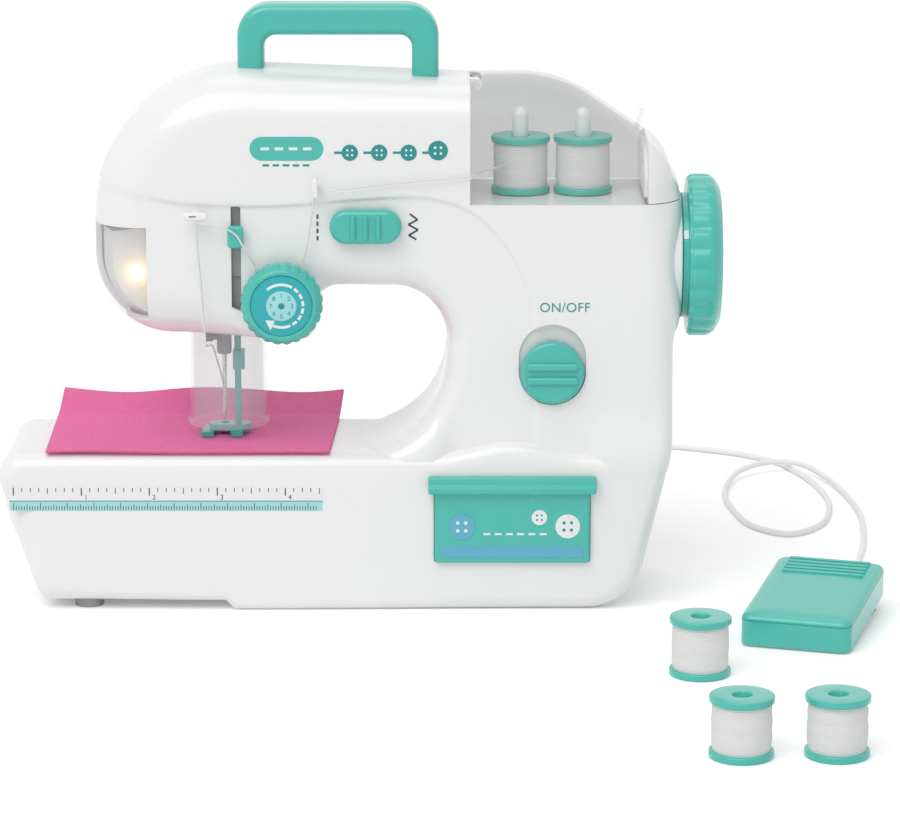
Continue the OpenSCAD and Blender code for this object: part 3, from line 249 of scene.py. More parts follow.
def slab(line, low, high, low_edge, high_edge, steps):
    """Plate over a closed line from low to high, with quarter-round edges at both faces; a last ring just
    inside the upper edge keeps its shading flat."""
    turn = np.linspace(0, math.pi / 2, steps + 1)
    levels = [(low_edge * (1 - math.sin(t)), low + low_edge * (1 - math.cos(t))) for t in turn]
    levels += [(high_edge * (1 - math.cos(t)), high - high_edge * (1 - math.sin(t))) for t in turn]
    levels += [(high_edge + SUPPORT_RING, high)] if high_edge > 0 else []
    rings = [np.column_stack([inward(line, d), np.full(len(line), h)]) for d, h in levels]
    return np.concatenate(rings), grid_faces(len(rings), len(line)) + end_faces(len(rings), len(line))


def upright(points, y_front=0.0):
    """Plate drawn in x, z with its height towards the viewer: height h lies at y_front - h."""
    p = np.asarray(points, float)
    return np.stack([p[:, 0], y_front - p[:, 2], p[:, 1]], 1)


def raised(y_front, line, *heights):
    """Plate over a closed line in x, z that stands on a front face; its heights and edges are those of slab."""
    points, faces = slab(line, *heights)
    return upright(points, y_front), faces


# Finishes
def feed(tree, node, **inputs):
    """Node with inputs set by name, _ standing for a space: a socket is linked, anything else is a value."""
    for title, value in inputs.items():
        socket = node.inputs[title.replace("_", " ")]
        if isinstance(value, bpy.types.NodeSocket):
            tree.links.new(value, socket)
        else:
            socket.default_value = value
    return node


def add_node(tree, kind, **inputs):
    """New shader node with its inputs."""
    return feed(tree, tree.nodes.new("ShaderNode" + kind), **inputs)


def add_group(tree, group, **inputs):
    """New node that places a group, with its inputs."""
    node = tree.nodes.new("ShaderNodeGroup")
    node.node_tree = group
    return feed(tree, node, **inputs)


def mixed_colour(tree, **inputs):
    """Mix of colours A and B by a Factor."""
    node = tree.nodes.new("ShaderNodeMix")
    node.data_type = "RGBA"
    return feed(tree, node, **inputs).outputs["Result"]


def math_node(tree, operation, *values):
    """Math node whose inputs are numbers or sockets."""
    node = tree.nodes.new("ShaderNodeMath")
    node.operation = operation
    for socket, value in zip(node.inputs, values):
        if isinstance(value, (int, float)):
            socket.default_value = value
        else:
            tree.links.new(value, socket)
    return node.outputs[0]


def new_group(name, inputs, outputs):
    """Shader group with inputs of given default values, where a tuple is a colour; returns it with its input
    sockets and its output node."""
    group = bpy.data.node_groups.new(name, "ShaderNodeTree")
    for title, value in inputs.items():
        kind = "NodeSocketColor" if isinstance(value, tuple) else "NodeSocketFloat"
        group.interface.new_socket(title, in_out="INPUT", socket_type=kind).default_value = value
    for title in outputs:
        kind = "NodeSocketColor" if title == "Colour" else "NodeSocketFloat"
        group.interface.new_socket(title, in_out="OUTPUT", socket_type=kind)
    return group, group.nodes.new("NodeGroupInput").outputs, group.nodes.new("NodeGroupOutput")


def build_moulded_skin():
    """Moulded plastic: cloudy colour at hand scale, mottled gloss and a fine orange-peel height."""
    group, ins, outs = new_group(
        "moulded_skin",
        {"Colour": (0.8, 0.8, 0.8, 1), "Cloud": 0.04, "Gloss": 0.2, "Mottle": 0.08, "Peel": 1.0},
        ["Colour", "Roughness", "Height"])
    where = add_node(group, "TexCoord").outputs["Object"]
    cloud, spots, peel = (add_node(group, "TexNoise", Vector=where, Scale=scale, Detail=detail).outputs[0]
                          for scale, detail in ((26.0, 2.0), (90.0, 3.0), (1400.0, 1.0)))
    value = math_node(group, "MULTIPLY_ADD", cloud, ins["Cloud"], 1.0)
    drop = math_node(group, "MULTIPLY", ins["Cloud"], 0.5)
    value = math_node(group, "SUBTRACT", value, drop)
    shade = add_node(group, "HueSaturation", Value=value, Color=ins["Colour"])
    mottle = math_node(group, "MULTIPLY", math_node(group, "SUBTRACT", spots, 0.5), ins["Mottle"])
    feed(group, outs, Colour=shade.outputs[0], Roughness=math_node(group, "ADD", mottle, ins["Gloss"]),
         Height=math_node(group, "MULTIPLY", peel, ins["Peel"]))
    return group


def build_tinted_back():
    """Clear plastic that turns smoky towards the rear: an alpha that rises with depth, from 8 mm before the
    middle to 24 mm behind it."""
    group, ins, outs = new_group("tinted_back", {"Front": 0.1, "Back": 0.3}, ["Alpha"])
    where = add_node(group, "TexCoord").outputs["Object"]
    depth = add_node(group, "SeparateXYZ", Vector=where).outputs["Y"]
    reach = add_node(group, "MapRange", Value=depth, From_Min=-0.008, From_Max=0.024,
                     To_Min=ins["Front"], To_Max=ins["Back"])
    feed(group, outs, Alpha=reach.outputs[0])
    return group


def build_spun_thread():
    """Spun yarn: slanting plies along the thread's own UV, as a height and a pale colour with painted shade in
    the grooves between plies.
    """
    group, ins, outs = new_group(
        "spun_thread", {"Colour": (0.9, 0.9, 0.9, 1), "Plies": 60.0, "Slant": 2.0, "Shade": 0.8},
        ["Colour", "Height"])
    place = add_node(group, "SeparateXYZ", Vector=add_node(group, "TexCoord").outputs["UV"]).outputs
    along = math_node(group, "MULTIPLY", place[0], ins["Plies"])
    round_it = math_node(group, "MULTIPLY", place[1], ins["Slant"])
    turn = math_node(group, "MULTIPLY", math_node(group, "ADD", along, round_it), 2 * math.pi)
    wave = math_node(group, "MULTIPLY_ADD", math_node(group, "SINE", turn), 0.5, 0.5)
    # Colour darkens by Shade where the wave is low: painted shade in the grooves between plies
    groove_shade = add_node(group, "HueSaturation", Color=ins["Colour"], Value=ins["Shade"]).outputs[0]
    feed(group, outs, Colour=mixed_colour(group, Factor=wave, A=groove_shade, B=ins["Colour"]), Height=wave)
    return group


def build_plain_weave():
    """Plain weave on UV: warp and weft as crossed round bars that pass over and under each other, and fuzz."""
    group, ins, outs = new_group(
        "plain_weave", {"Colour": (0.8, 0.1, 0.4, 1), "Threads": 110.0, "Aspect": 0.8}, ["Colour", "Height"])
    where = add_node(group, "TexCoord").outputs
    place = add_node(group, "SeparateXYZ", Vector=where["UV"]).outputs
    weft_count = math_node(group, "MULTIPLY", ins["Threads"], ins["Aspect"])
    over, bars = [], []
    for part, count in ((place[0], ins["Threads"]), (place[1], weft_count)):
        turn = math_node(group, "MULTIPLY", math_node(group, "MULTIPLY", part, count), math.pi)
        over.append(math_node(group, "SINE", turn))
        bars.append(math_node(group, "ABSOLUTE", math_node(group, "COSINE", turn)))
    crossing = math_node(group, "MULTIPLY", math_node(group, "MULTIPLY", *over), 0.3)
    height = math_node(group, "MULTIPLY", math_node(group, "ADD", *bars), -0.35)
    height = math_node(group, "ADD", crossing, height)
    fuzz = add_node(group, "TexNoise", Vector=where["Object"], Scale=700.0).outputs[0]
    total = math_node(group, "ADD", height, math_node(group, "MULTIPLY", fuzz, 0.5))
    # The colour darkens with this height: painted shade in the weave's hollows between threads, with the fuzz
    # as an uneven tone
    shade_and_fuzz = math_node(group, "MULTIPLY_ADD", total, 0.45, 1.0)
    shade = add_node(group, "HueSaturation", Value=shade_and_fuzz, Color=ins["Colour"])
    feed(group, outs, Colour=shade.outputs[0], Height=total)
    return group


def build_drawn_metal():
    """Drawn or turned metal: long fine lines by stretched noise, as a roughness and a height."""
    group, ins, outs = new_group("drawn_metal", {"Gloss": 0.28, "Lines": 0.16}, ["Roughness", "Height"])
    where = add_node(group, "TexCoord").outputs["Object"]
    stretch = add_node(group, "Mapping", Vector=where, Scale=(60.0, 1900.0, 1900.0)).outputs[0]
    noise = add_node(group, "TexNoise", Vector=stretch, Scale=1.0).outputs[0]
    lines = math_node(group, "MULTIPLY", math_node(group, "SUBTRACT", noise, 0.5), ins["Lines"])
    feed(group, outs, Roughness=math_node(group, "ADD", lines, ins["Gloss"]), Height=noise)
    return group


moulded_skin = build_moulded_skin()
spun_thread = build_spun_thread()
plain_weave = build_plain_weave()
drawn_metal = build_drawn_metal()
tinted_back = build_tinted_back()


def principled(tree):
    """The Principled shader of a material's tree."""
    return next(n for n in tree.nodes if n.type == "BSDF_PRINCIPLED")


def new_finish(name, group, values, bump, depth, **sockets):
    """Principled material fed by one group's Colour, Roughness and Height, with plain values on its sockets."""
    material = bpy.data.materials.new(name)
    material.use_nodes = True
    tree = material.node_tree
    shader = feed(tree, principled(tree), **sockets)
    pattern = add_group(tree, group, **values).outputs
    for title, socket in (("Colour", "Base Color"), ("Roughness", "Roughness")):
        if title in pattern:
            tree.links.new(pattern[title], shader.inputs[socket])
    relief = add_node(tree, "Bump", Strength=bump, Distance=depth, Height=pattern["Height"])
    tree.links.new(relief.outputs[0], shader.inputs["Normal"])
    return material


def plastic(name, colour, gloss, cloud, mottle, bump, **sockets):
    """Moulded plastic of one colour."""
    values = {"Colour": (*colour, 1), "Cloud": cloud, "Gloss": gloss, "Mottle": mottle, "Peel": 1.0}
    return new_finish(name, moulded_skin, values, bump, 0.0002, **sockets)


def ink(name, colour, gloss):
    """Smooth print of one colour."""
    return plastic(name, colour, gloss, 0.03, 0.05, 0.02)


def smoky(name, colour, gloss, front, back):
    """Clear plastic whose alpha grows from front to back."""
    material = plastic(name, colour, gloss, 0.02, 0.05, 0.02)
    tree = material.node_tree
    feed(tree, principled(tree), Alpha=add_group(tree, tinted_back, Front=front, Back=back).outputs["Alpha"])
    return material


def metal(name, colour, gloss, lines):
    """Bright drawn metal of one colour."""
    return new_finish(name, drawn_metal, {"Gloss": gloss, "Lines": lines}, 0.05, 0.0001,
                      Base_Color=(*colour, 1), Metallic=1.0)


TEAL = (0.060, 0.500, 0.425)
body_white = plastic("body_white", (0.86, 0.86, 0.86), 0.24, 0.012, 0.05, 0.03,
                     Coat_Weight=0.25, Coat_Roughness=0.08)
teal_gloss = plastic("teal_gloss", TEAL, 0.26, 0.05, 0.07, 0.04, Coat_Weight=0.3, Coat_Roughness=0.1)
inner_white = plastic("inner_white", (0.74, 0.74, 0.75), 0.42, 0.03, 0.08, 0.08)
inner_grey = plastic("inner_grey", (0.34, 0.34, 0.36), 0.5, 0.04, 0.08, 0.1)
gear_cream = plastic("gear_cream", (0.70, 0.62, 0.38), 0.4, 0.05, 0.08, 0.08)
belt_black = plastic("belt_black", (0.022, 0.022, 0.023), 0.7, 0.2, 0.1, 0.2)
cell_slate = plastic("cell_slate", (0.06, 0.07, 0.09), 0.35, 0.06, 0.08, 0.05)
cord_white = plastic("cord_white", (0.89, 0.89, 0.89), 0.38, 0.03, 0.08, 0.06)
slot_grey = plastic("slot_grey", (0.40, 0.40, 0.41), 0.5, 0.04, 0.08, 0.05)
print_white = plastic("print_white", (0.84, 0.85, 0.86), 0.3, 0.01, 0.05, 0.02)
print_teal = ink("print_teal", (0.014, 0.28, 0.27), 0.32)
print_dark = ink("print_dark", (0.05, 0.065, 0.075), 0.34)
print_blue = ink("print_blue", (0.11, 0.44, 0.60), 0.3)
print_pale = ink("print_pale", (0.36, 0.72, 0.74), 0.3)
print_aqua = ink("print_aqua", (0.022, 0.43, 0.46), 0.28)
steel_bright = metal("steel_bright", (0.66, 0.67, 0.69), 0.26, 0.18)
bush_brass = metal("bush_brass", (0.68, 0.47, 0.18), 0.3, 0.14)
guard_clear = plastic("guard_clear", (0.70, 0.70, 0.71), 0.07, 0.01, 0.03, 0.02, Alpha=0.17)
cover_smoky = smoky("cover_smoky", (0.46, 0.46, 0.47), 0.1, 0.07, 0.34)
lens_clear = plastic("lens_clear", (0.86, 0.87, 0.89), 0.12, 0.01, 0.05, 0.04, Alpha=0.24)
led_lit = plastic("led_lit", (1.0, 0.80, 0.42), 0.2, 0.02, 0.04, 0.02,
                  Emission_Color=(1.0, 0.66, 0.22, 1), Emission_Strength=5.0)
PLIES = 500.0
thread_white = new_finish(
    "thread_white", spun_thread, {"Colour": (0.84, 0.84, 0.84, 1), "Plies": PLIES, "Slant": 2.0, "Shade": 0.82},
    0.35, 0.0002, Roughness=0.75, Sheen_Weight=0.15)
cloth_pink = new_finish(
    "cloth_pink", plain_weave, {"Colour": (0.92, 0.125, 0.40, 1), "Threads": 150.0, "Aspect": 0.8},
    0.6, 0.0003, Roughness=0.82, Sheen_Weight=0.25)

finish_of_slot = {
    "white_plastic": body_white, "teal_plastic": teal_gloss, "clear_plastic": guard_clear,
    "smoky_plastic": cover_smoky, "pale_plastic": inner_white, "grey_plastic": inner_grey,
    "gear_plastic": gear_cream, "steel": steel_bright, "bush_brass": bush_brass, "belt_rubber": belt_black,
    "cell_wrap": cell_slate, "thread_white": thread_white, "cloth_pink": cloth_pink, "cord_white": cord_white,
    "led_clear": led_lit}
for sub in frame["record"]["subparts"]:
    node = frame["nodes"][sub["node"]]
    node.data.materials.clear()
    node.data.materials.append(finish_of_slot[sub["material_slot"]])


# Pedal cord: the route of the part's own cord, from the grommet behind the base to the pedal
cord_route = np.array([
    [92, 36, 10], [92, 44, 9.6], [93, 62, 4], [95, 84, 1.4], [99, 130, 1.4], [107, 180, 1.4], [120, 213, 1.4],
    [137, 223, 1.4], [153, 218, 1.4], [168, 210, 1.4], [182, 197, 1.4], [191, 178, 1.4], [198, 150, 1.4],
    [200, 120, 1.4], [194, 90, 1.4], [180, 74, 1.4], [166, 86, 1.4], [160, 110, 1.4], [158, 140, 1.6],
    [165, 168, 3.2], [178, 181, 4.4], [192, 180, 4.4], [202, 164, 2.6], [208, 140, 1.4], [211, 110, 1.4],
    [210, 80, 1.4], [206, 48, 1.4], [198, 12, 1.4], [191.1, -10.45, 4.0], [188.61, -18.58, 5.6],
    [187.41, -22.5, 5.6], [186.54, -25.37, 5.6]])
CORD_D = 2.4
cord_line = smooth_path(cord_route, 2.0)
pedal_cord = add_piece("pedal_cord_run", *swept(cord_line, CORD_D / 2, 14), cord_white, "machine", "cord_white",
                       ["pedal_cord"])

# White shells: outlines as corners of x, z, corner radius and edge rounding
FACE_Y, BASE_Y, WALL = 29.0, 33.0, 2.2
WHEEL_Z = 130.0
BAY_X, BAY_Z = 50.4, 154.0
FAR = 999.0
arm_corners = [
    (100, 24, 0, 1), (121.5, 40, 0, 6), (126.3, 60, 40, 6), (126.3, 169, 20, 14), (84, 198.3, 50, 16),
    (50, 197.8, 0, 16), (-90.3, 204.5, 56, 20), (-90.3, 102.5, 29, 20), (-7, 102.5, 6, 5), (-7, 122, 9, 12),
    (41.7, 122, 20, 11), (41.7, 59.6, 37, 9), (-4.3, 59.6, 0, 4), (-4.3, 30, 0, 1)]
base_corners = [
    (-38, 0, 0, 3), (111.5, 0, 22, 6), (126.0, 60, 5, 6), (-127.5, 60, 9, 7), (-123.5, 34, 40, 13),
    (-110.5, 3.5, 6, 5), (-41.5, 3.5, 0, 3)]
SIDE_STEP, FACET, EDGE_RINGS = 2.5, math.radians(2.5), 9


def body_outline(corners):
    """Closed outline with fine corner arcs and even points on its sides; the third value is the edge rounding,
    which eases from corner to corner by a half cosine."""
    c = [np.asarray(k, float) for k in corners]
    n, arcs, out = len(c), [], []
    for i in range(n):
        a, b, d = c[i - 1][:2], c[i][:2], c[(i + 1) % n][:2]
        u, w = (a - b) / np.linalg.norm(a - b), (d - b) / np.linalg.norm(d - b)
        turn = math.pi - math.acos(float(np.clip(u @ w, -1, 1)))
        arc = arc_between(a, b, d, c[i][2], max(2, int(turn / FACET)))
        arcs.append(np.column_stack([arc, np.full(len(arc), c[i][3])]))
    for i in range(n):
        start, end = arcs[i][-1], arcs[(i + 1) % n][0]
        count = int(np.linalg.norm(end[:2] - start[:2]) / SIDE_STEP)
        t = np.arange(1, count)[:, None] / max(count, 1)
        eased = 0.5 - 0.5 * np.cos(math.pi * t)
        side = start[:2] + (end[:2] - start[:2]) * t
        out += [arcs[i], np.hstack([side, start[2:] + (end[2:] - start[2:]) * eased])]
    return np.concatenate(out)


def inside(points, loops):
    """Even-odd test of plane points against several closed loops."""
    odd = np.zeros(len(points), bool)
    for loop in loops:
        a, b = loop[:, None, :], np.roll(loop, -1, 0)[:, None, :]
        p = points[None]
        spans = (a[..., 1] > p[..., 1]) != (b[..., 1] > p[..., 1])
        rise = np.where(np.abs(b[..., 1] - a[..., 1]) < 1e-12, 1e-12, b[..., 1] - a[..., 1])
        cross = a[..., 0] + (p[..., 1] - a[..., 1]) * (b[..., 0] - a[..., 0]) / rise
        odd ^= (np.sum(spans & (p[..., 0] < cross), axis=0) % 2).astype(bool)
    return odd


def flat_face(rim, holes, extra, spacing):
    """Triangles of the plane region inside a rim and outside holes, over an even lattice and extra points."""
    low, high = rim.min(0), rim.max(0)
    gx, gz = np.meshgrid(np.arange(low[0], high[0], spacing), np.arange(low[1], high[1], spacing * 0.87))
    gx = gx + (np.arange(gx.shape[0])[:, None] % 2) * spacing / 2
    lattice = np.column_stack([gx.ravel(), gz.ravel()])
    loops = [rim] + list(holes)
    edge = np.concatenate(loops + [extra])
    near = np.concatenate([np.min(np.linalg.norm(part[:, None] - edge[None], axis=2), axis=1) < spacing * 0.6
                           for part in np.array_split(lattice, 12)])
    lattice = lattice[~near & inside(lattice, loops)]
    points = np.concatenate(loops + [extra[inside(extra, loops)], lattice])
    edges, start = [], 0
    for loop in loops:
        k = len(loop)
        edges += [(start + i, start + (i + 1) % k) for i in range(k)]
        start += k
    flat, _, triangles, *_ = delaunay_2d_cdt([Vector(p) for p in points], edges, [], 0, 1e-5)
    flat, triangles = np.array([tuple(v) for v in flat]), np.array(triangles)
    triangles = triangles[inside(flat[triangles].mean(1), loops)]
    a, b, c = (flat[triangles[:, i]] for i in range(3))
    area = (b[:, 0] - a[:, 0]) * (c[:, 1] - a[:, 1]) - (b[:, 1] - a[:, 1]) * (c[:, 0] - a[:, 0])
    triangles[area < 0] = triangles[area < 0][:, ::-1]
    return flat, triangles


def half_shell(corners, half_d, holes=(), extra=np.zeros((0, 2)), spacing=3.0):
    """Front half of a body: from the seam plane forward, over a quarter-round edge whose radius follows the
    outline, on to a flat face with holes. Returned as millimetre points and faces, open at the seam."""
    line = body_outline(corners)
    edge = np.maximum(line[:, 2], 0.5)
    stack = [np.column_stack([line[:, 0], np.zeros(len(line)), line[:, 1]])]
    for t in np.linspace(0, math.pi / 2, EDGE_RINGS + 1):
        moved = inward(line[:, :2], edge * (1 - math.cos(t)))
        stack.append(np.column_stack([moved[:, 0], edge - half_d - edge * math.sin(t), moved[:, 1]]))
    flat, triangles = flat_face(stack[-1][:, [0, 2]], holes, extra, spacing)
    cap = np.column_stack([flat[:, 0], np.full(len(flat), -half_d), flat[:, 1]])
    return joined((np.concatenate(stack), grid_faces(len(stack), len(line))), (cap, triangles.tolist()))


# The crease: the outer panel of the front stands proud of the panel round the throat
CREASE_DEPTH, CREASE_W = 1.1, 1.8
CREASE_ROWS = (-1.0, 0.0, 0.45, 0.9, 1.35, 1.8, 2.8)
crease_route = [
    (-120, 170), (-86.8, 161.6), (-60, 156), (-43, 154.5), (-19, 154.5), (13.7, 157.2), (35.8, 157.2),
    (52.4, 151.2), (65.8, 136.9), (74, 118.4), (75.2, 106), (75.8, 84), (76.3, 60.5), (76.6, 20)]
crease_line = smooth_path([[x, -FACE_Y, z] for x, z in crease_route], 1.6)[:, [0, 2]]
crease_along = np.gradient(crease_line, axis=0)


def below_crease(points):
    """How far plane points lie on the throat side of the crease, negative on the outer side."""
    gap = np.linalg.norm(points[:, None] - crease_line[None], axis=2)
    near = np.argmin(gap, axis=1)
    along, away = crease_along[near], points - crease_line[near]
    side = along[:, 0] * away[:, 1] - along[:, 1] * away[:, 0]
    return np.where(side < 0, 1, -1) * gap[np.arange(len(points)), near]


def press_panel(points):
    """Sinks the throat-side panel behind the crease, also round the head's left edge; the step is a smooth
    cubic and fades towards the seam."""
    depth = np.zeros(len(points))
    for part in np.array_split(np.arange(len(points)), max(1, len(points) // 3000)):
        depth[part] = CREASE_DEPTH * ease(below_crease(points[part][:, [0, 2]]) / CREASE_W)
    front = np.clip((-points[:, 1] - 4) / (FACE_Y - 4), 0, 1)
    points = points.copy()
    round_left = np.clip((points[:, 1] + FACE_Y) / 18, 0, 1) * (points[:, 0] < -60)
    points[:, 0] += depth * round_left * np.clip((-points[:, 1] - 1) / 8, 0, 1)
    points[:, 1] += depth * front
    return points


def crease_points():
    """Rows of points beside the crease, close enough together to carry its step."""
    along = crease_along / np.linalg.norm(crease_along, axis=1)[:, None]
    square = np.stack([along[:, 1], -along[:, 0]], 1)
    return np.concatenate([crease_line + square * d for d in CREASE_ROWS])


def to_bmesh(points, faces):
    """Working mesh in millimetres with its doubled points merged."""
    mesh = bpy.data.meshes.new("work")
    mesh.from_pydata(np.asarray(points, float).tolist(), [], faces)
    work = bmesh.new()
    work.from_mesh(mesh)
    bpy.data.meshes.remove(mesh)
    bmesh.ops.remove_doubles(work, verts=work.verts, dist=0.002)
    return work


def cut_out(work, low, high, keep_inside=False):
    """Cuts a working mesh along the six sides of a box, then keeps what lies outside the box, or inside it."""
    low, high = np.asarray(low, float), np.asarray(high, float)
    for axis in range(3):
        normal = [float(axis == i) for i in range(3)]
        for value in (low[axis], high[axis]):
            if abs(value) < FAR:
                bmesh.ops.bisect_plane(work, geom=work.verts[:] + work.edges[:] + work.faces[:], dist=1e-4,
                                       plane_co=[value * n for n in normal], plane_no=normal)
    middles = np.array([tuple(f.calc_center_median()) for f in work.faces])
    held = np.all((middles > low) & (middles < high), axis=1)
    gone = [f for f, h in zip(work.faces[:], held) if bool(h) != keep_inside]
    bmesh.ops.delete(work, geom=gone, context="FACES")
    return work


def add_shell(name, work, material, body, slot, stands_for, thickness):
    """Piece from an open working sheet, which is freed: a Solidify modifier gives it a wall on the inner side,
    with crisp edges round its openings."""
    mesh = bpy.data.meshes.new(name)
    work.to_mesh(mesh)
    work.free()
    flat = np.empty(len(mesh.vertices) * 3)
    mesh.vertices.foreach_get("co", flat)
    mesh.vertices.foreach_set("co", flat * MM)
    mesh.update()
    piece = add_mesh(name, mesh, material, body, stands_for, 50)
    used = np.empty(len(mesh.loops), int)
    mesh.loops.foreach_get("edge_index", used)
    crisp = np.empty(len(mesh.edges), bool)
    mesh.edges.foreach_get("use_edge_sharp", crisp)
    mesh.edges.foreach_set("use_edge_sharp", crisp | (np.bincount(used, minlength=len(crisp)) == 1))
    wall = piece.modifiers.new("wall", "SOLIDIFY")
    wall.thickness, wall.offset, wall.use_even_offset = thickness * MM, -1.0, False


def blend_foot(points, whole=False):
    """Lets the pillar's face flow out to the base's face, by a smooth cubic in height: beside the drawer arch,
    or over the whole width."""
    p = points.copy()
    beside = ease((p[:, 0] - 92) / 12) + ease((46 - p[:, 0]) / 10) * ease((p[:, 0] - 8) / 14)
    beside = np.maximum(beside, whole * ease((p[:, 0] - 8) / 14))
    front = np.clip((-p[:, 1] - 6) / (FACE_Y - 6), 0, 1)
    p[:, 1] -= 4.2 * beside * ease((78 - p[:, 2]) / 20) * front
    tuck = 1.2 * ease((54 - p[:, 2]) / 9) * ease((p[:, 0] - (6 if whole else 96)) / 6)
    p[:, 1] += tuck * front
    p[:, 0] -= tuck
    return p


def arch_over_drawer(points):
    """Raises the base's upper front edge in a shallow squared-cosine arch over the drawer."""
    p = points.copy()
    bow = np.cos(np.clip((p[:, 0] - 66) / 30, -1, 1) * math.pi / 2) ** 2
    p[:, 2] += 4.6 * bow * ease((p[:, 2] - 49) / 9) * ease((-p[:, 1] - 20) / 8)
    return p


def swell_boss(points):
    """Lets the body's right side rise to the handwheel in a low round mound, by a smooth cubic of the distance
    from the wheel's axis."""
    p = points.copy()
    away = np.hypot(p[:, 2] - WHEEL_Z, 0.9 * p[:, 1])
    p[:, 0] += 2.8 * ease((36 - away) / 12) * ease((p[:, 0] - 100) / 20)
    return p


def turned_back(points, faces):
    """The same sheet mirrored to the rear, with its faces turned to point outwards again."""
    p = np.asarray(points, float).copy()
    p[:, 1] *= -1
    return p, turned_over(faces)


BUTTON_X, BUTTON_Z, RECESS_R = 81.1, 91.0, 12.5
ARM_WELLS = ((-58, 172), (30, 172), (-64, 126), (58, 141))
BASE_WELLS = ((-112, 40), (18, 32), (104, 14))
WELL_R, WELL_FLOOR_Y = 3.0, 18.0
slot_loop = capsule(-37.9, -34.3, 113.0, 153.4, 0.8, 4)
recess_loop = capsule(BUTTON_X - RECESS_R, BUTTON_X + RECESS_R, 78.5, 109.1, RECESS_R - 0.01, 14)
drawer_loop = capsule(36.9, 95.6, 18.8, 46.8, 1.2, 4)

points, faces = half_shell(arm_corners, FACE_Y, [slot_loop, recess_loop], crease_points())
arm_front = swell_boss(blend_foot(press_panel(points))), faces
points, faces = half_shell([(x, z, r, min(e, 18.0)) for x, z, r, e in arm_corners], FACE_Y,
                           [circle_loop(x, z, WELL_R) for x, z in ARM_WELLS])
arm_back = swell_boss(blend_foot(points, True)), faces
points, faces = half_shell(base_corners, BASE_Y, [drawer_loop], spacing=4.0)
base_front = arch_over_drawer(points), faces
cord_hole = circle_loop(92, 10, 3.5)
base_back = half_shell([(x, z, r, min(e, 8.0)) for x, z, r, e in base_corners], BASE_Y,
                       [circle_loop(x, z, WELL_R) for x, z in BASE_WELLS] + [cord_hole], spacing=4.0)


# Openings of the shells, as boxes of a lowest and a highest corner
bay_opening = ((BAY_X, -FAR, BAY_Z), (FAR, FAR, FAR))
lens_opening = ((-FAR, -FAR, 109.0), (-69.3, -0.3, 145.2))
needle_opening = ((-50.2, -9.2, 98.0), (-31.8, 9.2, 104.0))
plate_opening = ((-62, -16, 58.0), (-22, 16, 64.0))
battery_opening = ((-30, -22.6, -1.0), (24, 22.6, 1.0))


def shell_half(arm, base, rear):
    """One white half: arm sheet without its spool bay, lens window and needle opening, joined to the base sheet
    without its needle plate and battery door."""
    if rear:
        arm, base = turned_back(*arm), turned_back(*base)
    work = to_bmesh(*arm)
    ends_at = 4.0 if rear else 100.0
    cut_out(work, (-FAR, -FAR, -FAR), (ends_at, FAR, 54.0))
    cut_out(work, (ends_at - 0.1, -FAR, -FAR), (FAR, FAR, 44.0))
    for opening in (bay_opening, needle_opening) if rear else (bay_opening, lens_opening, needle_opening):
        cut_out(work, *opening)
    lower = to_bmesh(*base)
    for opening in (plate_opening, battery_opening):
        cut_out(lower, *opening)
    carried = bpy.data.meshes.new("carried")
    lower.to_mesh(carried)
    lower.free()
    work.from_mesh(carried)
    bpy.data.meshes.remove(carried)
    return work


white_shell = (body_white, "machine", "white_plastic")
add_shell("front_half", shell_half(arm_front, base_front, False), *white_shell, ["front_shell"], WALL)
add_shell("rear_half", shell_half(arm_back, base_back, True), *white_shell, ["rear_shell"], WALL)

# Lamp lens and spool cover: the same sheet, each inside its own window
lens_sheet = cut_out(to_bmesh(*arm_front), (-FAR, -FAR, 109.2), (-69.5, -0.3, 145.0), True)
add_shell("lamp_window", lens_sheet, lens_clear, "machine", "clear_plastic", ["lamp_lens"], 1.6)

points, faces = half_shell(arm_corners, FACE_Y)
arm_plain = swell_boss(points), faces
COVER_Z, COVER_END = BAY_Z + 0.3, 116.2


def cover_sheet(x0, x1):
    """Both halves of the arm sheet above the spool bay between two places along it, as one working mesh."""
    both = joined(arm_plain, turned_back(*arm_plain))
    return cut_out(to_bmesh(*both), (x0, -FAR, COVER_Z), (x1, FAR, FAR), True)


smoky_cover = (cover_smoky, "cover", "smoky_plastic")
add_shell("clear_cover", cover_sheet(BAY_X + 0.3, COVER_END), *smoky_cover, ["spool_cover"], 1.4)
add_shell("cover_shoulder", cover_sheet(COVER_END, FAR), body_white, "cover", "white_plastic", (), 1.8)


def bay_section(x, inset):
    """Closed cross-section of the cover at a place along it, from the sheet's points, moved in by a wall."""
    rim = body_outline(arm_corners)
    top = np.interp(x, *np.array(sorted((p[0], p[1]) for p in rim if p[1] > 160 and p[0] > 45)).T) - inset
    edge, half, floor = 14.0 - inset, FACE_Y - inset, COVER_Z + inset
    return rounded_loop([(-half, floor, 1.0), (half, floor, 1.0), (half, top, edge), (-half, top, edge)], 10)


END_WALL = 1.6
points, faces = slab(bay_section(COVER_END, 2.0), 0.0, END_WALL, 0.4, 0.4, 3)
points = set_on(points, (COVER_END - END_WALL, 0, 0), "x")
add_piece("cover_end_wall", points, faces, body_white, "cover", "white_plastic")

TAB_AT, TAB_LEAN = np.array([112.6, 0, 178.2]), 0.34
tab_line = rounded_loop([(-3.4, 0.0, 0.6), (3.4, 0.0, 0.6), (4.4, 7.0, 0.6), (-4.4, 7.0, 0.6)], 3)
points, faces = raised(0.0, tab_line, -0.9, 0.9, 0.3, 0.3, 3)
points = points[:, [1, 0, 2]] + TAB_AT
points[:, 0] += TAB_LEAN * (points[:, 2] - TAB_AT[2])
add_piece("cover_finger_tab", points, turned_over(faces), *smoky_cover)

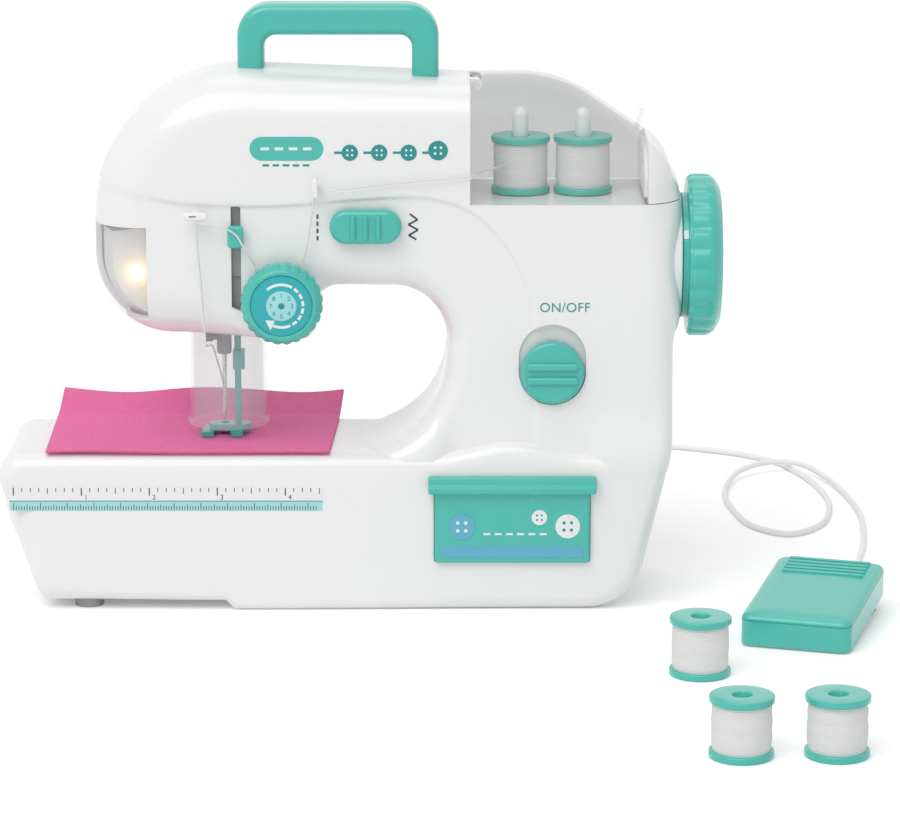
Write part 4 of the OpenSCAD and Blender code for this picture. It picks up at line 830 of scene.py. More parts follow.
barrel_profile = rounded_line([(1.58, 0, 0), (2.2, 0, 0.3), (2.2, 4, 0.3), (1.58, 4, 0)], 3)
barrels = [lathe(barrel_profile, 28, (52.6, y, 196.2), "-y") for y in (6.9, -2.9)]
add_piece("cover_hinge_barrels", *joined(*barrels), *smoky_cover)

# Boss that carries the handwheel, and the screw wells of the rear half
boss_profile = rounded_line([(5.0, 120.4, 0), (24.6, 120.4, 0), (24.6, 129.4, 0.6), (5.0, 129.4, 0)], 6)
add_piece("wheel_boss", *lathe(boss_profile, 96, (0, 0, WHEEL_Z), "x"), *white_shell)

wells = []
for places, face_y in ((ARM_WELLS, FACE_Y), (BASE_WELLS, BASE_Y)):
    deep = face_y - WELL_FLOOR_Y
    well_profile = rounded_line([(1.6, 0, 0), (WELL_R, 0, 0.5), (WELL_R, deep, 0), (3.3, deep, 0),
                                 (3.3, -0.4, 0)], 3)
    for x, z in places:
        points, faces = lathe(well_profile, 32, (0, 0, 0), "-y")
        wells.append((points * np.array([1, -1, 1]) + np.array([x, WELL_FLOOR_Y, z]), faces))
add_piece("screw_wells", *joined(*wells), *white_shell)

# Carrying handle: an arch whose outline is rounded towards both faces
handle_line = rounded_loop([
    (-36.0, 193.5, 3.4), (-26.0, 193.5, 3.4), (-26.0, 213.8, 4.5), (28.8, 213.8, 4.5), (28.8, 193.5, 3.4),
    (38.8, 193.5, 3.4), (38.8, 225.3, 12.0), (-36.0, 225.3, 12.0)], 12)
teal_fixed = (teal_gloss, "machine", "teal_plastic")
add_piece("handle_arch", *raised(0.0, handle_line, -7.5, 7.5, 3.2, 3.2, 8), *teal_fixed, ["handle"], 60)


# Lettering and flat prints: thin plates that stand a hair proud of the face that carries them
PRINT_H, TICK_H = 0.12, 0.06


def numerals(text, size, centre, y_front, depth=PRINT_H, spacing=1.0):
    """Raised plain figures or words: the font's outline as a plate, centred at a place on a front face."""
    curve = bpy.data.curves.new("figures", "FONT")
    curve.body, curve.size, curve.extrude = text, size * MM, 0.5 * depth * MM
    curve.align_x, curve.align_y, curve.space_character = "CENTER", "CENTER", spacing
    holder = bpy.data.objects.new("figures", curve)
    mesh = bpy.data.meshes.new_from_object(holder)
    flat = np.empty(len(mesh.vertices) * 3)
    mesh.vertices.foreach_get("co", flat)
    points = flat.reshape(-1, 3) / MM
    faces = [list(p.vertices) for p in mesh.polygons]
    bpy.data.objects.remove(holder)
    bpy.data.curves.remove(curve)
    bpy.data.meshes.remove(mesh)
    points[:, :2] += np.asarray(centre, float)
    points[:, 2] += 0.5 * depth
    return upright(points, y_front), faces


def print_plate(line, y_front, depth=PRINT_H):
    """Thin print over a closed line in x, z."""
    return raised(y_front, line, -0.02, depth, 0.0, 0.04, 1)


def print_bar(x0, z0, x1, z1, width, y_front, depth=PRINT_H):
    """Straight printed stroke between two places, with square ends."""
    a, b = np.array([x0, z0], float), np.array([x1, z1], float)
    along = (b - a) / np.linalg.norm(b - a)
    side = np.array([-along[1], along[0]]) * width / 2
    return print_plate(np.array([a - side, b - side, b + side, a + side]), y_front, depth)


def stitch_row(x0, x1, step, count, z, width, y_front):
    """Row of level stitches: the first from x0 to x1, the rest one step apart."""
    return [print_bar(x0 + step * i, z, x1 + step * i, z, width, y_front) for i in range(count)]


def button_prints(places, y_front):
    """Round buttons at (x, z, radius), as two lists of plates: the discs, and four thread holes on each."""
    discs = [print_plate(circle_loop(x, z, r), y_front, 0.2) for x, z, r in places]
    holes = [print_plate(circle_loop(x + dx * r * 0.3, z + dz * r * 0.3, r * 0.14, 12), y_front - 0.2, 0.08)
             for x, z, r in places for dx in (-1, 1) for dz in (-1, 1)]
    return discs, holes


FRONT, PANEL, BASE_FRONT = -FACE_Y, -FACE_Y + CREASE_DEPTH, -BASE_Y
teal_ink, white_ink = (print_teal, "machine", "teal_plastic"), (print_white, "machine", "white_plastic")
dark_ink = (print_dark, "machine", "teal_plastic")

# Badge above the crease: a pill with running stitches, then a seam of buttons
add_piece("badge_pill", *print_plate(capsule(-30.6, -3.5, 170.6, 179.5, 4.44, 10), FRONT), *teal_fixed)
badge_stitches = stitch_row(-26.6, -23.4, 5.2, 4, 175.05, 1.1, FRONT - PRINT_H)
add_piece("badge_stitches", *joined(*badge_stitches), *white_ink)
badge_seam = stitch_row(-25.9, -23.5, 3.7, 5, 168.9, 0.8, FRONT)
badge_seam += stitch_row(0.4, 3.6, 5.4, 8, 173.6, 0.9, FRONT)
add_piece("badge_seam", *joined(*badge_seam), *teal_ink)
badge_places = ((6.2, 173.6, 3.0), (17.0, 173.6, 3.0), (27.8, 173.6, 3.0), (38.6, 174.4, 3.6))
discs, holes = button_prints(badge_places, FRONT)
add_piece("badge_buttons", *joined(*discs), *teal_ink)
add_piece("badge_button_holes", *joined(*holes), *white_ink)

# Signs beside the selector: straight stitches on its left, a zigzag on its right; plain words over the switch
signs = [print_bar(-5.9, 150.4 - 2.7 * i, -5.9, 148.8 - 2.7 * i, 0.75, PANEL) for i in range(4)]
zigzag = [(28.2, 150.6), (31.0, 148.4), (27.6, 146.6), (31.2, 144.6), (27.8, 142.6), (30.6, 141.0)]
signs += [print_bar(*a, *b, 0.7, PANEL) for a, b in zip(zigzag, zigzag[1:])]
add_piece("stitch_signs", *joined(*signs), *dark_ink)
add_piece("switch_words", *numerals("ON/OFF", 5.0, (85.6, 115.4), FRONT, spacing=1.05), *teal_ink)

# Ruler on the base front: inch ticks on white above, millimetre ticks on blue below
RULER_X0, RULER_X1, RULER_Z0, RULER_Z1, RULER_Z2 = -121.7, -4.6, 38.8, 42.6, 48.0
STRIP_H, FIRST_TICK, INCH = 0.1, RULER_X0 + 1.6, 25.4
ticks_y = BASE_FRONT - STRIP_H
white_strip, blue_strip = (print_plate(capsule(RULER_X0, RULER_X1, z0, z1, 0.5, 3), BASE_FRONT, STRIP_H)
                           for z0, z1 in ((RULER_Z1, RULER_Z2), (RULER_Z0, RULER_Z1)))
add_piece("ruler_white", *white_strip, *white_ink)
add_piece("ruler_blue", *blue_strip, print_pale, "machine", "teal_plastic")
ticks = []
for i in range(37):
    tall = 3.0 if i % 8 == 0 else 2.3 if i % 4 == 0 else 1.6
    x = FIRST_TICK + INCH * i / 8
    ticks.append(print_bar(x, 47.7 - tall, x, 47.7, 0.3 if i % 8 else 0.45, ticks_y, TICK_H))
for i in range(114):
    tall = 2.6 if i % 10 == 0 else 2.0 if i % 5 == 0 else 1.4
    ticks.append(print_bar(FIRST_TICK + i, 39.2, FIRST_TICK + i, 39.2 + tall, 0.28, ticks_y, TICK_H))
ticks += [numerals(str(i), 2.7, (RULER_X0 + 3.3 + INCH * i, 44.0), ticks_y, TICK_H) for i in range(1, 5)]
ticks.append(print_bar(RULER_X0, RULER_Z1, RULER_X1, RULER_Z1, 0.25, ticks_y, TICK_H))
add_piece("ruler_marks", *joined(*ticks), *dark_ink)

# Tension dial: rim waved by a power of a cosine over its grips, dished face, plain figures and an arrow
DIAL_X, DIAL_Z, DIAL_BACK_Y, DIAL_FACE_Y, GRIPS = -19.0, 118.4, -31.2, -40.1, 24


def dial_grip(angle, radius, height):
    """Radius less a rounded groove at each grip, on the outer rim only."""
    groove = 0.5 + 0.5 * np.cos(GRIPS * angle)
    rim = ease((radius - 12.2) / 1.6) * ease((8.6 - height) / 2.0)
    return radius - 0.55 * rim * groove ** 2


def on_dial(radius, degrees):
    """Place on the dial's face, clockwise from the top."""
    a = math.radians(degrees)
    return DIAL_X + radius * math.sin(a), DIAL_Z + radius * math.cos(a)


dial_profile = rounded_line([
    (2.2, 0.0, 0), (13.4, 0.0, 0.6), (15.3, 1.6, 1.0), (15.3, 6.2, 2.6), (12.6, 9.5, 1.4), (11.6, 9.2, 0.3),
    (11.3, 8.6, 0.3), (0.02, 8.9, 0)], 8)
face_profile = rounded_line([(0.02, 0.0, 0), (11.2, -0.25, 0), (11.2, 0.05, 0.1), (0.02, 0.25, 0)], 2)
centre_profile = rounded_line([(0.02, 0.15, 0), (5.6, 0.12, 0), (5.6, 0.36, 0.1), (0.02, 0.42, 0)], 2)
face_at = (DIAL_X, DIAL_FACE_Y, DIAL_Z)
add_piece("tension_knob", *lathe(dial_profile, 288, (DIAL_X, DIAL_BACK_Y, DIAL_Z), "-y", dial_grip), teal_gloss,
          "dial", "teal_plastic", ["tension_dial"], 50)
add_piece("dial_face", *lathe(face_profile, 96, face_at, "-y"), print_aqua, "dial", "teal_plastic")
add_piece("dial_centre", *lathe(centre_profile, 64, face_at, "-y"), print_pale, "dial", "teal_plastic")

marks = []
for a0, a1 in ((-40, 30), (36, 50), (56, 70), (76, 90), (96, 110), (116, 130), (136, 150), (156, 205)):
    steps = np.linspace(a0, a1, max(3, int((a1 - a0) / 6)))
    marks.append(np.array([on_dial(8.5, a) for a in steps] + [on_dial(7.5, a) for a in steps[::-1]])[::-1])
marks.append(np.array([on_dial(8.0, 228), on_dial(10.0, 204), on_dial(6.0, 204)]))
marks = [print_plate(line, DIAL_FACE_Y - 0.1, 0.1) for line in marks]
add_piece("dial_marks", *joined(*marks), print_white, "dial", "white_plastic")
figures = [numerals(str(i), 2.3, on_dial(3.9, 45 * i - 45), DIAL_FACE_Y - 0.36, 0.1) for i in range(1, 9)]
figures.append(print_plate(circle_loop(DIAL_X, DIAL_Z, 1.2, 24), DIAL_FACE_Y - 0.38, 0.1))
add_piece("dial_figures", *joined(*figures), print_teal, "dial", "teal_plastic")

# Stitch selector: an oval button with a domed edge, three upright ribs and a tail through its slot
selector = [raised(FRONT, capsule(-1.35, 25.15, 139.9, 152.7, 6.2, 16), 0.3, 4.4, 0.3, 2.2, 8)]
selector += [raised(FRONT, capsule(x - 1.0, x + 1.0, 141.6, 151.0, 0.95, 6), 3.2, 5.7, 0.0, 0.9, 5)
             for x in (11.9 - 4.6, 11.9, 11.9 + 4.6)]
selector.append(raised(FRONT, capsule(8.3, 15.5, 144.8, 147.8, 0.4, 3), -3.2, 0.4, 0.2, 0.0, 2))
add_piece("selector_slide", *joined(*selector), teal_gloss, "selector", "teal_plastic", ["stitch_selector"], 50)

# Power button in its round-ended recess: a crowned disc with two level ribs
button = [raised(FRONT, circle_loop(BUTTON_X, BUTTON_Z, 11.8, 96), -1.2, 3.0, 0.3, 1.6, 8)]
button += [raised(FRONT, capsule(BUTTON_X - 9.6, BUTTON_X + 9.6, z - 1.5, z + 1.5, 1.4, 6),
                  2.0, 4.6, 0.0, 1.2, 6) for z in (BUTTON_Z - 2.6, BUTTON_Z + 2.6)]
add_piece("switch_button", *joined(*button), teal_gloss, "button", "teal_plastic", ["power_button"], 50)

# Take-up lever: a tab on a flat arm through its slot, with a grey shield behind it and a backing below that
take_up = [raised(FRONT, capsule(-39.0, -33.2, 138.4, 146.7, 1.2, 6), 0.6, 3.6, 0.4, 1.0, 5),
           raised(FRONT, capsule(-37.7, -34.5, 139.0, 145.0, 0.5, 3), -19.0, 0.9, 0.2, 0.2, 2)]
add_piece("take_up_tab", *joined(*take_up), teal_gloss, "needle_carriage", "teal_plastic",
          ["take_up_lever"], 50)
for name, body, z0, z1, low in (("take_up_shield", "needle_carriage", 126.5, 165.0, -4.7),
                                ("slot_backing", "machine", 107.0, 126.6, -5.7)):
    plate = raised(FRONT, capsule(-39.6, -32.6, z0, z1, 1.0, 4), low, low + 0.6, 0.1, 0.1, 1)
    add_piece(name, *plate, slot_grey, body, "grey_plastic")

# Thread guides: a hook on the head and a loop over the crease, each a soft bar on a stem
HOOK_H = 4.6
guides = [raised(FRONT, capsule(*outline), *heights) for outline, heights in (
    ((-55.5, -46.1, 148.9, 151.9, 1.4, 6), (2.6, HOOK_H, 0.6, 0.9, 5)),
    ((-52.4, -49.2, 149.0, 151.8, 1.2, 5), (-2.2, 3.0, 0.0, 0.2, 3)),
    ((-7.7, -5.3, 157.2, 164.6, 1.1, 5), (2.6, 4.7, 0.5, 0.9, 5)),
    ((-7.7, -5.3, 159.7, 162.1, 1.0, 5), (-2.2, 3.0, 0.0, 0.2, 3)))]
add_piece("thread_hooks", *joined(*guides), *white_shell, ["thread_guides"], 50)
hook_slit = print_bar(-53.0, 150.5, -50.4, 150.5, 0.45, FRONT - HOOK_H, 0.05)
add_piece("hook_slit", *hook_slit, print_dark, "machine", "grey_plastic")

# Drawer: tray, front panel and the rolled pull along its top
PULL_MIDDLE = np.array([-35.4, 49.4])
pull_profile = rounded_line([
    (-33.3, 46.6, 0), (-35.0, 45.6, 0.6), (-37.4, 46.2, 0.9), (-37.8, 48.4, 0.5), (-36.5, 49.5, 0.5),
    (-36.2, 52.3, 0.8), (-33.3, 52.3, 0.5), (-33.3, 46.6, 0)], 5)[:-1]


def pull_bar(x0, x1):
    """Section of the pull carried along x between two rounded ends."""
    stations = [(x0, 0.86), (x0 + 0.25, 0.95), (x0 + 0.9, 1.0), (x1 - 0.9, 1.0), (x1 - 0.25, 0.95), (x1, 0.86)]
    n, section = len(pull_profile), pull_profile - PULL_MIDDLE
    rows = [np.column_stack([np.full(n, x), section * s + PULL_MIDDLE]) for x, s in stations]
    return np.concatenate(rows), turned_over(grid_faces(len(rows), n) + end_faces(len(rows), n))


def box_plate(x0, x1, y0, y1, z0, z1):
    """Flat wall with small round edges, drawn as a plate seen from the front."""
    return raised(0.0, capsule(x0, x1, z0, z1, 0.35, 2), -y1, -y0, 0.15, 0.15, 1)


TRAY_X0, TRAY_X1, TRAY_Y0, TRAY_Y1, TRAY_Z0, TRAY_Z1, TRAY_WALL = 38.2, 94.3, -33.0, 13.0, 19.6, 44.5, 1.6
PANEL_H = 2.2
tray = [raised(BASE_FRONT, capsule(37.2, 95.3, 19.1, 46.5, 1.4, 6), -0.6, PANEL_H, 0.3, 0.8, 5),
        pull_bar(34.9, 97.6)]
tray += [box_plate(*walls) for walls in (
    (TRAY_X0, TRAY_X1, TRAY_Y0, TRAY_Y1, TRAY_Z0, TRAY_Z0 + TRAY_WALL),
    (TRAY_X0, TRAY_X0 + TRAY_WALL, TRAY_Y0, TRAY_Y1, TRAY_Z0, TRAY_Z1),
    (TRAY_X1 - TRAY_WALL, TRAY_X1, TRAY_Y0, TRAY_Y1, TRAY_Z0, TRAY_Z1),
    (TRAY_X0, TRAY_X1, TRAY_Y1 - TRAY_WALL, TRAY_Y1, TRAY_Z0, TRAY_Z1))]
add_piece("drawer_tray", *joined(*tray), teal_gloss, "drawer_box", "teal_plastic", ["drawer"], 50)
drawer_face = BASE_FRONT - PANEL_H
WAVE_X0, WAVE_X1, WAVE_FOOT, WAVE_STEPS, WAVES = 39.6, 92.9, 21.4, 97, 8
wave_top = 25.6 - 0.7 * np.cos(np.linspace(0, WAVES * 2 * math.pi, WAVE_STEPS))
wave_line = np.concatenate([[[WAVE_X0, WAVE_FOOT], [WAVE_X1, WAVE_FOOT]],
                            np.column_stack([np.linspace(WAVE_X0, WAVE_X1, WAVE_STEPS), wave_top])[::-1]])
stitches = stitch_row(55.5, 58.1, 4.2, 6, 30.4, 0.8, drawer_face)
white_discs, teal_holes = button_prints(((87.0, 33.4, 4.6), (76.4, 36.8, 2.9)), drawer_face)
blue_discs, white_holes = button_prints(((47.4, 33.2, 5.0),), drawer_face)
for name, plates, colour, slot in (
        ("drawer_wave", [print_plate(wave_line, drawer_face)], print_blue, "teal_plastic"),
        ("drawer_buttons_white", white_discs + stitches, print_white, "white_plastic"),
        ("drawer_button_holes", teal_holes, print_teal, "teal_plastic"),
        ("drawer_button_blue", blue_discs, print_blue, "teal_plastic"),
        ("drawer_button_blue_holes", white_holes, print_white, "white_plastic")):
    add_piece(name, *joined(*plates), colour, "drawer_box", slot)


# Reels of thread: a reel of two flanges on a tube, and a winding built of close turns in layers
reel_profile = rounded_line([
    (3.25, 0.2, 0), (3.25, 0, 0), (11.0, 0, 0.5), (11.0, 2.5, 0.6), (7.0, 2.5, 0.3), (6.2, 3.0, 0.5),
    (6.2, 18.4, 0.5), (7.0, 18.9, 0.3), (11.0, 18.9, 0.6), (11.0, 21.4, 0.5), (3.6, 21.4, 0.3), (3.25, 20.8, 0),
    (3.25, 0.2, 0)], 4)
WOUND_ROWS, WOUND_COLS, WOUND_PITCH = 161, 96, 0.62
WOUND_LOW, WOUND_HIGH = 2.4, 19.0


def winding(seed):
    """Wound thread as a surface: one ridge each turn by a sine in height, which climbs a turn round the reel,
    on a slightly barrelled and uneven radius."""
    random = np.random.default_rng(seed)
    h = np.linspace(WOUND_LOW, WOUND_HIGH, WOUND_ROWS)[:, None]
    a = np.linspace(0, 2 * math.pi, WOUND_COLS, endpoint=False)[None, :]
    turns = (h - WOUND_LOW) / WOUND_PITCH - a / (2 * math.pi)
    slow = sum(random.normal(0, 0.04) * np.sin(h * k * 0.33 + random.uniform(0, 6)) for k in range(1, 5))
    barrel = 10.05 - 0.5 * ((h - 10.7) / 8.3) ** 6
    radius = barrel + slow + 0.1 * np.abs(np.sin(math.pi * turns))
    points = np.stack([radius * np.cos(a), radius * np.sin(a), h + 0 * a], -1).reshape(-1, 3)
    return points, grid_faces(WOUND_ROWS, WOUND_COLS) + end_faces(WOUND_ROWS, WOUND_COLS)


def corner_points(piece):
    """Number of the point at each face corner of a piece."""
    corner = np.empty(len(piece.data.loops), int)
    piece.data.loops.foreach_get("vertex_index", corner)
    return corner


def map_surface(piece, u, v):
    """UV map from one pair of values for each face corner."""
    piece.data.uv_layers.new(name="surface").data.foreach_set("uv", np.column_stack([u, v]).ravel())


def map_grid(piece, rows, cols, wide):
    """UV from a grid's own row and column, so that a pattern follows the surface."""
    corner = corner_points(piece)
    map_surface(piece, corner // cols / (rows - 1) * wide, corner % cols / cols)


def add_winding(name, places, seed, body, stands_for):
    """Windings at several places as one piece, with the yarn's UV along each turn."""
    parts = []
    for i, place in enumerate(places):
        points, faces = winding(seed + i)
        parts.append((points + np.array(place, float), faces))
    piece = add_piece(name, *joined(*parts), thread_white, body, "thread_white", stands_for, 180)
    spot = corner_points(piece) % (WOUND_ROWS * WOUND_COLS)
    turn = spot % WOUND_COLS / WOUND_COLS
    start, count = np.empty((2, len(piece.data.polygons)), int)
    piece.data.polygons.foreach_get("loop_start", start)
    piece.data.polygons.foreach_get("loop_total", count)
    quads = start[count == 4][:, None] + np.arange(4)
    across_seam = quads[np.ptp(turn[quads], axis=1) > 0.5]
    turn[across_seam] += turn[across_seam] < 0.5
    height = spot // WOUND_COLS / (WOUND_ROWS - 1) * (WOUND_HIGH - WOUND_LOW)
    map_surface(piece, height / WOUND_PITCH / PLIES, -0.5 * turn)


BAY_FLOOR = BAY_Z + 0.2
for side, x, seed in (("left", 69.4, 3), ("right", 92.8, 7)):
    body, place = f"{side}_spool", (x, 0, BAY_FLOOR)
    add_piece(f"{side}_reel_body", *lathe(reel_profile, 72, place, "z"), teal_gloss, body, "teal_plastic",
              [f"{side}_reel"])
    add_winding(f"{side}_winding_turns", [place], seed, body, [f"{side}_winding"])
spare_places = [(132, -114, 0), (140, -208, 0), (172, -207, 0)]
spares = [lathe(reel_profile, 72, place, "z") for place in spare_places]
add_piece("spare_reel_bodies", *joined(*spares), *teal_fixed, ["spare_reels"])
add_winding("spare_winding_turns", spare_places, 11, "machine", ["spare_windings"])

# Handwheel: domed outer face, flutes round its rim, collar against the body with a white mark
FLUTES = 24
wheel_profile = rounded_line([
    (3.2, 129.6, 0), (23.5, 129.6, 0.5), (23.5, 131.9, 0.4), (29.3, 131.9, 0.8), (30.5, 133.4, 1.0),
    (30.5, 141.2, 5.2), (25.6, 144.3, 3.6), (21.6, 144.5, 0.6), (20.4, 143.6, 0.6), (12.0, 144.7, 10.0),
    (0.02, 145.1, 0)], 8)


def wheel_grip(angle, radius, height):
    """Radius less a rounded groove at each flute, fading in towards the rim and away at the domed face."""
    groove = (0.5 + 0.5 * np.cos(FLUTES * angle)) ** 2
    rim = ease((radius - 24.5) / 3.5) * ease((height - 131.6) / 1.0) * ease((142.5 - height) / 6.5)
    return radius - 1.1 * rim * groove


add_piece("handwheel_rim", *lathe(wheel_profile, 384, (0, 0, WHEEL_Z), "x", wheel_grip), teal_gloss, "drive",
          "teal_plastic", ["handwheel"], 50)
INDEX_X, INDEX_R, INDEX_TURN = 130.75, 23.45, math.radians(29.0)
points, faces = slab(capsule(-1.0, 1.0, -0.9, 0.9, 0.3, 3), 0.0, 0.25, 0.0, 0.08, 2)
out, across, c, s = INDEX_R + points[:, 2], 1.7 * points[:, 0], math.cos(INDEX_TURN), math.sin(INDEX_TURN)
points = np.stack([INDEX_X + points[:, 1], -out * c + across * s, WHEEL_Z + out * s + across * c], 1)
add_piece("wheel_index", points, faces, print_white, "drive", "white_plastic")

# Needle guard: clear tube with a foot flange and softened rims
guard_profile = rounded_line([(13.25, 65.5, 0), (15.4, 65.5, 0.3), (15.4, 67.2, 0.4), (14.55, 67.8, 0.5),
                              (14.55, 106.3, 0.2), (13.25, 106.3, 0.2), (13.25, 65.5, 0)], 4)
add_piece("guard_tube", *lathe(guard_profile, 128, (-41, 0, 0), "z"), guard_clear, "machine", "clear_plastic",
          ["needle_guard"], 40)

# Needle clamp: turned collar with a knurled thumb screw to the left, above the needle
NEEDLE_X = -42.5
clamp_profile = rounded_line([(1.75, 92.0, 0), (2.4, 92.0, 0.3), (2.8, 93.2, 0.4), (2.8, 100.2, 0.5),
                              (2.2, 101.0, 0.3), (1.75, 101.0, 0)], 4)
screw_profile = rounded_line([(0.02, 0, 0), (1.9, 0, 0.4), (1.9, 2.6, 0.4), (1.2, 2.9, 0.2), (1.2, 4.6, 0),
                              (0.02, 4.6, 0)], 3)
thumb_screw = lathe(screw_profile, 48, (-49.5, 0, 98.4), "x",
                    lambda a, r, h: r - 0.12 * (r > 1.5) * (0.5 + 0.5 * np.cos(16 * a)))
add_piece("clamp_collar", *joined(lathe(clamp_profile, 48, (NEEDLE_X, 0, 0), "z"), thumb_screw), inner_grey,
          "needle_carriage", "grey_plastic", ["needle_clamp"], 50)

# Lamp: a pale reflector pan with a skirt behind the lens, and a round-nosed bulb through it on a small board
PAN_X, PAN_Y, PAN_Z0, PAN_Z1 = -66.4, -20.6, 109.0, 145.0
arm_rim = body_outline(arm_corners)[:, :2]
head_rim = inward(arm_rim, 8.0)
by_lens = np.flatnonzero((head_rim[:, 0] < PAN_X - 0.2) & (head_rim[:, 1] > PAN_Z0) & (head_rim[:, 1] < PAN_Z1))
by_lens = by_lens[np.argsort(-head_rim[by_lens, 1])]
pan_line = np.concatenate([head_rim[by_lens], [[PAN_X, PAN_Z0], [PAN_X, PAN_Z1]]])
skirt_section = [(8.0, PAN_Y), (3.9, -9.0), (3.5, -0.8), (4.1, -0.8), (4.5, -9.2), (8.6, -20.3)]
skirt = np.stack([np.insert(inward(arm_rim, inset)[by_lens], 1, y, axis=1)
                  for inset, y in skirt_section], axis=1)
skirt_faces = grid_faces(*skirt.shape[:2]) + end_faces(*skirt.shape[:2])
reflector = [raised(PAN_Y, pan_line, 0.0, 0.6, 0.1, 0.1, 1),
             box_plate(PAN_X, -65.6, -25.6, PAN_Y, 118.0, 145.4),
             box_plate(-76.0, -65.6, -25.6, PAN_Y, PAN_Z1, 145.8),
             (skirt.reshape(-1, 3), turned_over(skirt_faces))]
add_piece("lamp_reflector", *joined(*reflector), inner_white, "machine", "pale_plastic")
bulb_profile = rounded_line([(0.02, 0, 0), (3.1, 0, 0.2), (3.1, 1.6, 0.2), (2.5, 1.6, 0), (2.5, 5.6, 2.4),
                             (0.02, 5.6, 0)], 10)
add_piece("lamp_bulb", *lathe(bulb_profile, 40, (-73.3, -19.6, 127.1), "-y"), led_lit, "machine", "led_clear",
          ["lamp_led"])
lamp_board = box_plate(-76.3, -68.3, -19.7, -18.1, 121.1, 133.1)
add_piece("lamp_board", *lamp_board, inner_grey, "machine", "led_clear")

# Soft edges on the pieces that show as the part's own solids
for name in ("presser_foot", "presser_bar", "needle_plate", "feed_dog", "feet", "spool_tray", "battery_door",
             "pedal_base", "cord_grommet"):
    soft = frame["nodes"][name].modifiers.new("soft_edge", "BEVEL")
    soft.width, soft.segments, soft.limit_method, soft.angle_limit = 0.25 * MM, 2, "ANGLE", math.radians(40)

# Pedal: wedge with a crowned top and ribs across its heel
PEDAL_AT, PEDAL_TURN = np.array([168.0, -86.0]), math.radians(-17.0)
PEDAL_HALF, PEDAL_LONG, PEDAL_CROWN, PEDAL_EDGE = 20.5, 66.0, 0.5, 2.2
pedal_line = capsule(-PEDAL_HALF, PEDAL_HALF, 0.0, PEDAL_LONG, 4.0, 10)


def place_pedal(points):
    """Pedal coordinates, x across, y from toe to heel, turned and moved to its place on the floor."""
    x, y, z = points.T
    c, s = math.cos(PEDAL_TURN), math.sin(PEDAL_TURN)
    return np.stack([PEDAL_AT[0] + c * x - s * y, PEDAL_AT[1] + s * x + c * y, z], 1)


def pedal_top(y):
    """Height of the pedal's upper face along its length, toe to heel."""
    return 12.5 + 5.5 * y / PEDAL_LONG


def pedal_floor(y):
    """Height of the pedal's underside, which leaves room for the press."""
    return 0.8 + 5.6 * y / PEDAL_LONG


def pedal_shell():
    """Box open below: side walls rise from the underside to a rounded top edge, and the top is lightly crowned.
    Rows are rings from the inner floor edge round to the middle of the top."""
    walls = ((2.0, 0.0), (0.0, 0.0), (0.0, 0.5), (0.0, 0.80))
    rings = [(inward(pedal_line, inset), t, 0.0) for inset, t in walls]
    for turn in np.linspace(0, math.pi / 2, 8):
        line = inward(pedal_line, PEDAL_EDGE * (1 - math.cos(turn)))
        rings.append((line, None, PEDAL_EDGE * (1 - math.sin(turn))))
    middle, outer = np.array([0.0, PEDAL_LONG / 2]), rings[-1][0]
    rings += [(middle + (outer - middle) * part, None, 0.0) for part in (0.8, 0.55, 0.3, 0.05)]
    points = []
    for line, t, drop in rings:
        low, high = pedal_floor(line[:, 1]), pedal_top(line[:, 1])
        crown = PEDAL_CROWN * (1 - (line[:, 0] / PEDAL_HALF) ** 2)
        z = low + (high - low) * t if t is not None else high - drop + crown * (drop < 0.01) - PEDAL_CROWN
        points.append(np.column_stack([line, z]))
    rows, cols = len(rings), len(pedal_line)
    return np.concatenate(points), grid_faces(rows, cols) + end_faces(rows, cols)[1:]


pedal_parts = [pedal_shell()]
for y in 62.0 - 3.4 * np.arange(5):
    rib, faces = slab(capsule(-15.5, 15.5, -0.75, 0.75, 0.7, 5), -0.4, 0.9, 0.0, 0.55, 4)
    pedal_parts.append((rib + np.array([0, y, pedal_top(y) - 0.15]), faces))
points, faces = joined(*pedal_parts)
add_piece("pedal_wedge", place_pedal(points), faces, teal_gloss, "treadle", "teal_plastic",
          ["pedal_treadle"], 45)

# Cloth under the presser foot, as the part's own sheet: flat at its front edge, with slow waves to the rear
CLOTH_U, CLOTH_V, CLOTH_W, CLOTH_D, CLOTH_THICK = 148, 118, 106, 84, 0.7


def cloth_sheet():
    """Height over the plate: waves that grow from the foot outwards and to the rear, plus a lifted far edge."""
    u, v = np.meshgrid(np.linspace(0, 1, CLOTH_U), np.linspace(0, 1, CLOTH_V), indexing="ij")
    x = -104 + CLOTH_W * u + v * (3.8 * u - 0.6) - 4
    y = -30.5 + CLOTH_D * v + 1.6 * np.sin(np.radians(500 * u)) * v ** 2
    away = np.clip((np.hypot(x + 41, y) - 18.55) / 40, 0, 1)
    swell = away * (0.5 + 2.6 * v ** 2)
    z = 60.2 + swell * (1 + np.sin(np.radians(560 * u + 150 * v))) / 2 + 3.4 * np.clip(v - 0.72, 0, None) / 0.28
    return np.stack([x, y, z + 0.4], -1).reshape(-1, 3)


points = cloth_sheet()
needle_hole = np.hypot(points[:, 0] - NEEDLE_X, points[:, 1]) < 1.5
faces = [f for f in grid_faces(CLOTH_U, CLOTH_V, closed=False) if not needle_hole[f].any()]
sample_cloth = add_piece("pink_cloth", points, faces, cloth_pink, "machine", "cloth_pink",
                         ["sample_cloth"], 180)
map_grid(sample_cloth, CLOTH_U, CLOTH_V, 1.0)
thick = sample_cloth.modifiers.new("cloth", "SOLIDIFY")
thick.thickness, thick.offset = CLOTH_THICK * MM, 0.0


